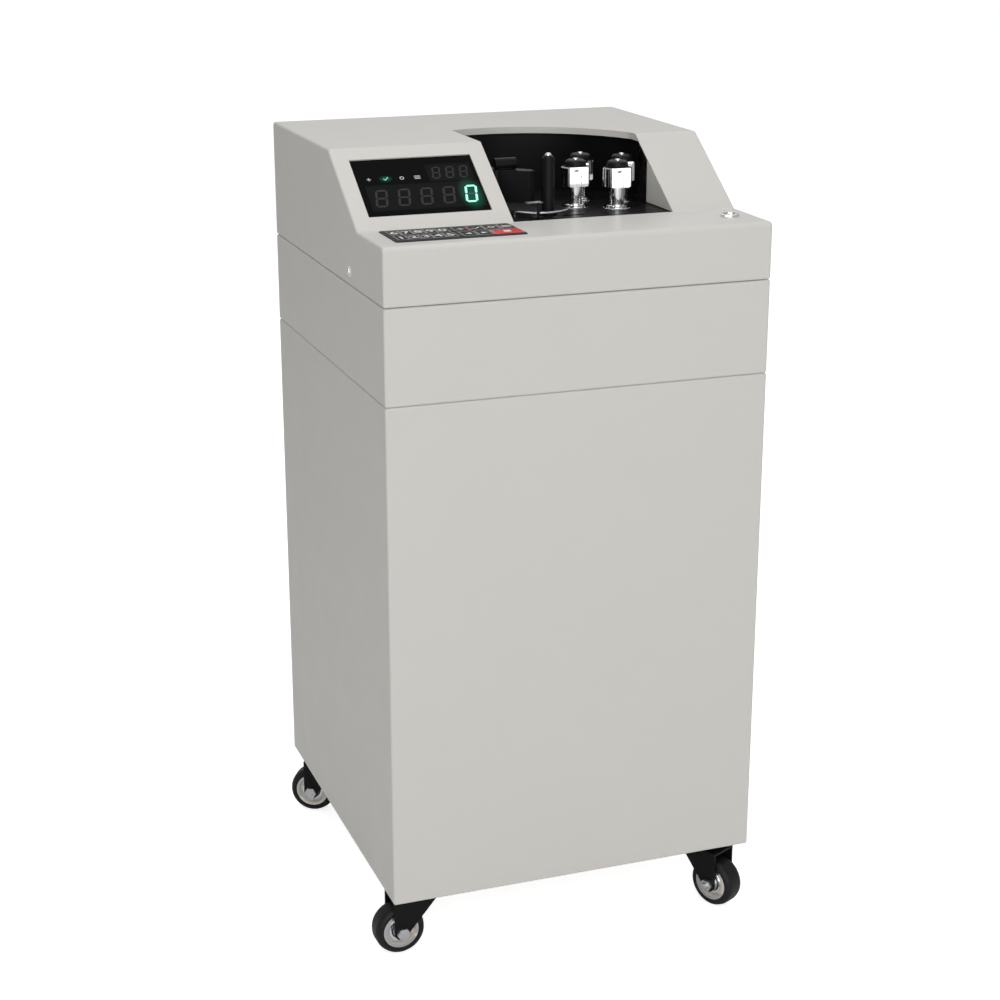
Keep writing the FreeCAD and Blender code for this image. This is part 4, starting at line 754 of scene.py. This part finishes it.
# Mains inlet: brass blades over the pins, and the two switch signs on the rocker
inletLook = {"x": -0.115, "pitch": 7.0, "z": 0.1545, "tip": 0.2126, "foot": 0.2030, "wide": 2.4, "tall": 4.4,
             "round": 0.5}
bladeLong = inletLook["tip"] - inletLook["foot"]
bladeY = (inletLook["tip"] + inletLook["foot"]) / 2
blades = bmesh.new()
for k in (-1, 0, 1):
    blade = bmesh.ops.create_cube(blades, size=1)["verts"]
    bmesh.ops.scale(blades, verts=blade, vec=(inletLook["wide"] * mm, bladeLong, inletLook["tall"] * mm))
    bladeX = inletLook["x"] + k * inletLook["pitch"] * mm
    bmesh.ops.translate(blades, verts=blade, vec=(bladeX, bladeY, inletLook["z"]))
bmesh.ops.bevel(blades, geom=list(blades.edges), offset=inletLook["round"] * mm, offset_type="OFFSET",
                segments=2, profile=0.5, affect="EDGES", material=-1)
newPiece("inlet_blades", blades, ["brass"], "case", meshLook["screwSharp"])

rockerLook = {"x": -0.115, "y": 0.2210, "z": 0.1855, "lean": 16.0, "offset": 3.9, "size": 4.2, "stroke": 0.7,
              "thick": 0.06}
marks = bmesh.new()
for way, kind in ((-1, "ring"), (1, "bar")):
    lean = math.radians(rockerLook["lean"]) if way > 0 else 0.0
    up = Vector((0, math.sin(lean), math.cos(lean)))
    out = Vector((0, math.cos(lean), -math.sin(lean)))
    middle = Vector((rockerLook["x"], rockerLook["y"], rockerLook["z"]))
    spot = middle + up * way * rockerLook["offset"] * mm
    face = Matrix(((-1, 0, 0, spot.x), (0, up.y, out.y, spot.y), (0, up.z, out.z, spot.z), (0, 0, 0, 1)))
    sign = bmesh.new()
    addSign(sign, kind, 0, 0, rockerLook["size"], rockerLook["stroke"])
    thicken(sign, rockerLook["thick"] * mm)
    sign.transform(face)
    holder = bpy.data.meshes.new("signShape")
    sign.to_mesh(holder)
    sign.free()
    marks.from_mesh(holder)
    bpy.data.meshes.remove(holder)
newPiece("rocker_marks", marks, ["printWhite"], "rocker")
print("inlet dressed")


# Floor, light and camera
stageLook = {"reach": 9, "floorTone": 0.86, "lift": 0.76, "world": 0.36, "back": 1.0, "mirror": 0.40}
floorMesh = bmesh.new()
bmesh.ops.create_grid(floorMesh, x_segments=1, y_segments=1, size=stageLook["reach"])
floorData = bpy.data.meshes.new("floor")
floorMesh.to_mesh(floorData)
floorMesh.free()
floor = bpy.data.objects.new("floor", floorData)
scene.collection.objects.link(floor)
paper = bpy.data.materials.new("paper")
paper.use_nodes = True
nodes = paper.node_tree.nodes
links = paper.node_tree.links
nodes.remove(nodes["Principled BSDF"])
sheet = nodes.new("ShaderNodeBsdfDiffuse")
sheet.inputs["Color"].default_value = (stageLook["floorTone"],) * 3 + (1,)
glow = nodes.new("ShaderNodeEmission")
path = nodes.new("ShaderNodeLightPath")
level = nodes.new("ShaderNodeMath")
level.operation = "MULTIPLY"
level.inputs[1].default_value = stageLook["lift"]
links.new(path.outputs["Is Camera Ray"], level.inputs[0])
links.new(level.outputs[0], glow.inputs["Strength"])
both = nodes.new("ShaderNodeAddShader")
links.new(sheet.outputs[0], both.inputs[0])
links.new(glow.outputs[0], both.inputs[1])
links.new(both.outputs[0], nodes["Material Output"].inputs["Surface"])
floorData.materials.append(paper)

world = bpy.data.worlds.new("studio")
scene.world = world
world.use_nodes = True
nodes = world.node_tree.nodes
links = world.node_tree.links
sky = nodes["Background"]
sky.inputs["Color"].default_value = (1, 1, 1, 1)
path = nodes.new("ShaderNodeLightPath")
strength = None
for ray, shown in (("Is Camera Ray", "back"), ("Is Transmission Ray", "back"), ("Is Glossy Ray", "mirror")):
    level = nodes.new("ShaderNodeMath")  # each kind of ray lifts or lowers the plain level
    level.operation = "MULTIPLY_ADD"
    level.inputs[1].default_value = stageLook[shown] - stageLook["world"]
    level.inputs[2].default_value = stageLook["world"]
    links.new(path.outputs[ray], level.inputs[0])
    if strength is not None:
        links.new(strength, level.inputs[2])
    strength = level.outputs[0]
links.new(strength, sky.inputs["Strength"])

lamps = {
    "key": {"at": (1.15, -2.4, 0.80), "to": (0.0, 0.0, 0.7), "size": 0.85, "watts": 3.5},
    "front": {"at": (-0.9, -3.2, 1.5), "to": (0.0, 0.0, 0.4), "size": 2.8, "watts": 48},
    "rear": {"at": (1.2, 2.2, 2.9), "to": (0.0, 0.0, 0.4), "size": 2.4, "watts": 17},
    "top": {"at": (-0.3, -0.4, 3.0), "to": (0.0, 0.0, 0.6), "size": 1.8, "watts": 23},
}
for name, lamp in lamps.items():
    data = bpy.data.lights.new(name, "AREA")
    data.shape = "SQUARE"
    data.size = lamp["size"]
    data.energy = lamp["watts"]
    light = bpy.data.objects.new(name, data)
    light.location = lamp["at"]
    light.rotation_euler = (Vector(lamp["to"]) - Vector(lamp["at"])).to_track_quat("-Z", "Y").to_euler()
    scene.collection.objects.link(light)

lens = {"at": (-0.7588, -2.0631, 1.1556), "turn": -19.91, "tilt": 17.94, "lens": 72.7, "sensor": 36}
cameraData = bpy.data.cameras.new("camera")
cameraData.lens = lens["lens"]
cameraData.sensor_width = lens["sensor"]
camera = bpy.data.objects.new("camera", cameraData)
camera.location = lens["at"]
camera.rotation_euler = (math.radians(90 - lens["tilt"]), 0, math.radians(lens["turn"]))
scene.collection.objects.link(camera)
scene.camera = camera
scene.view_settings.view_transform = "Standard"
print("stage set")
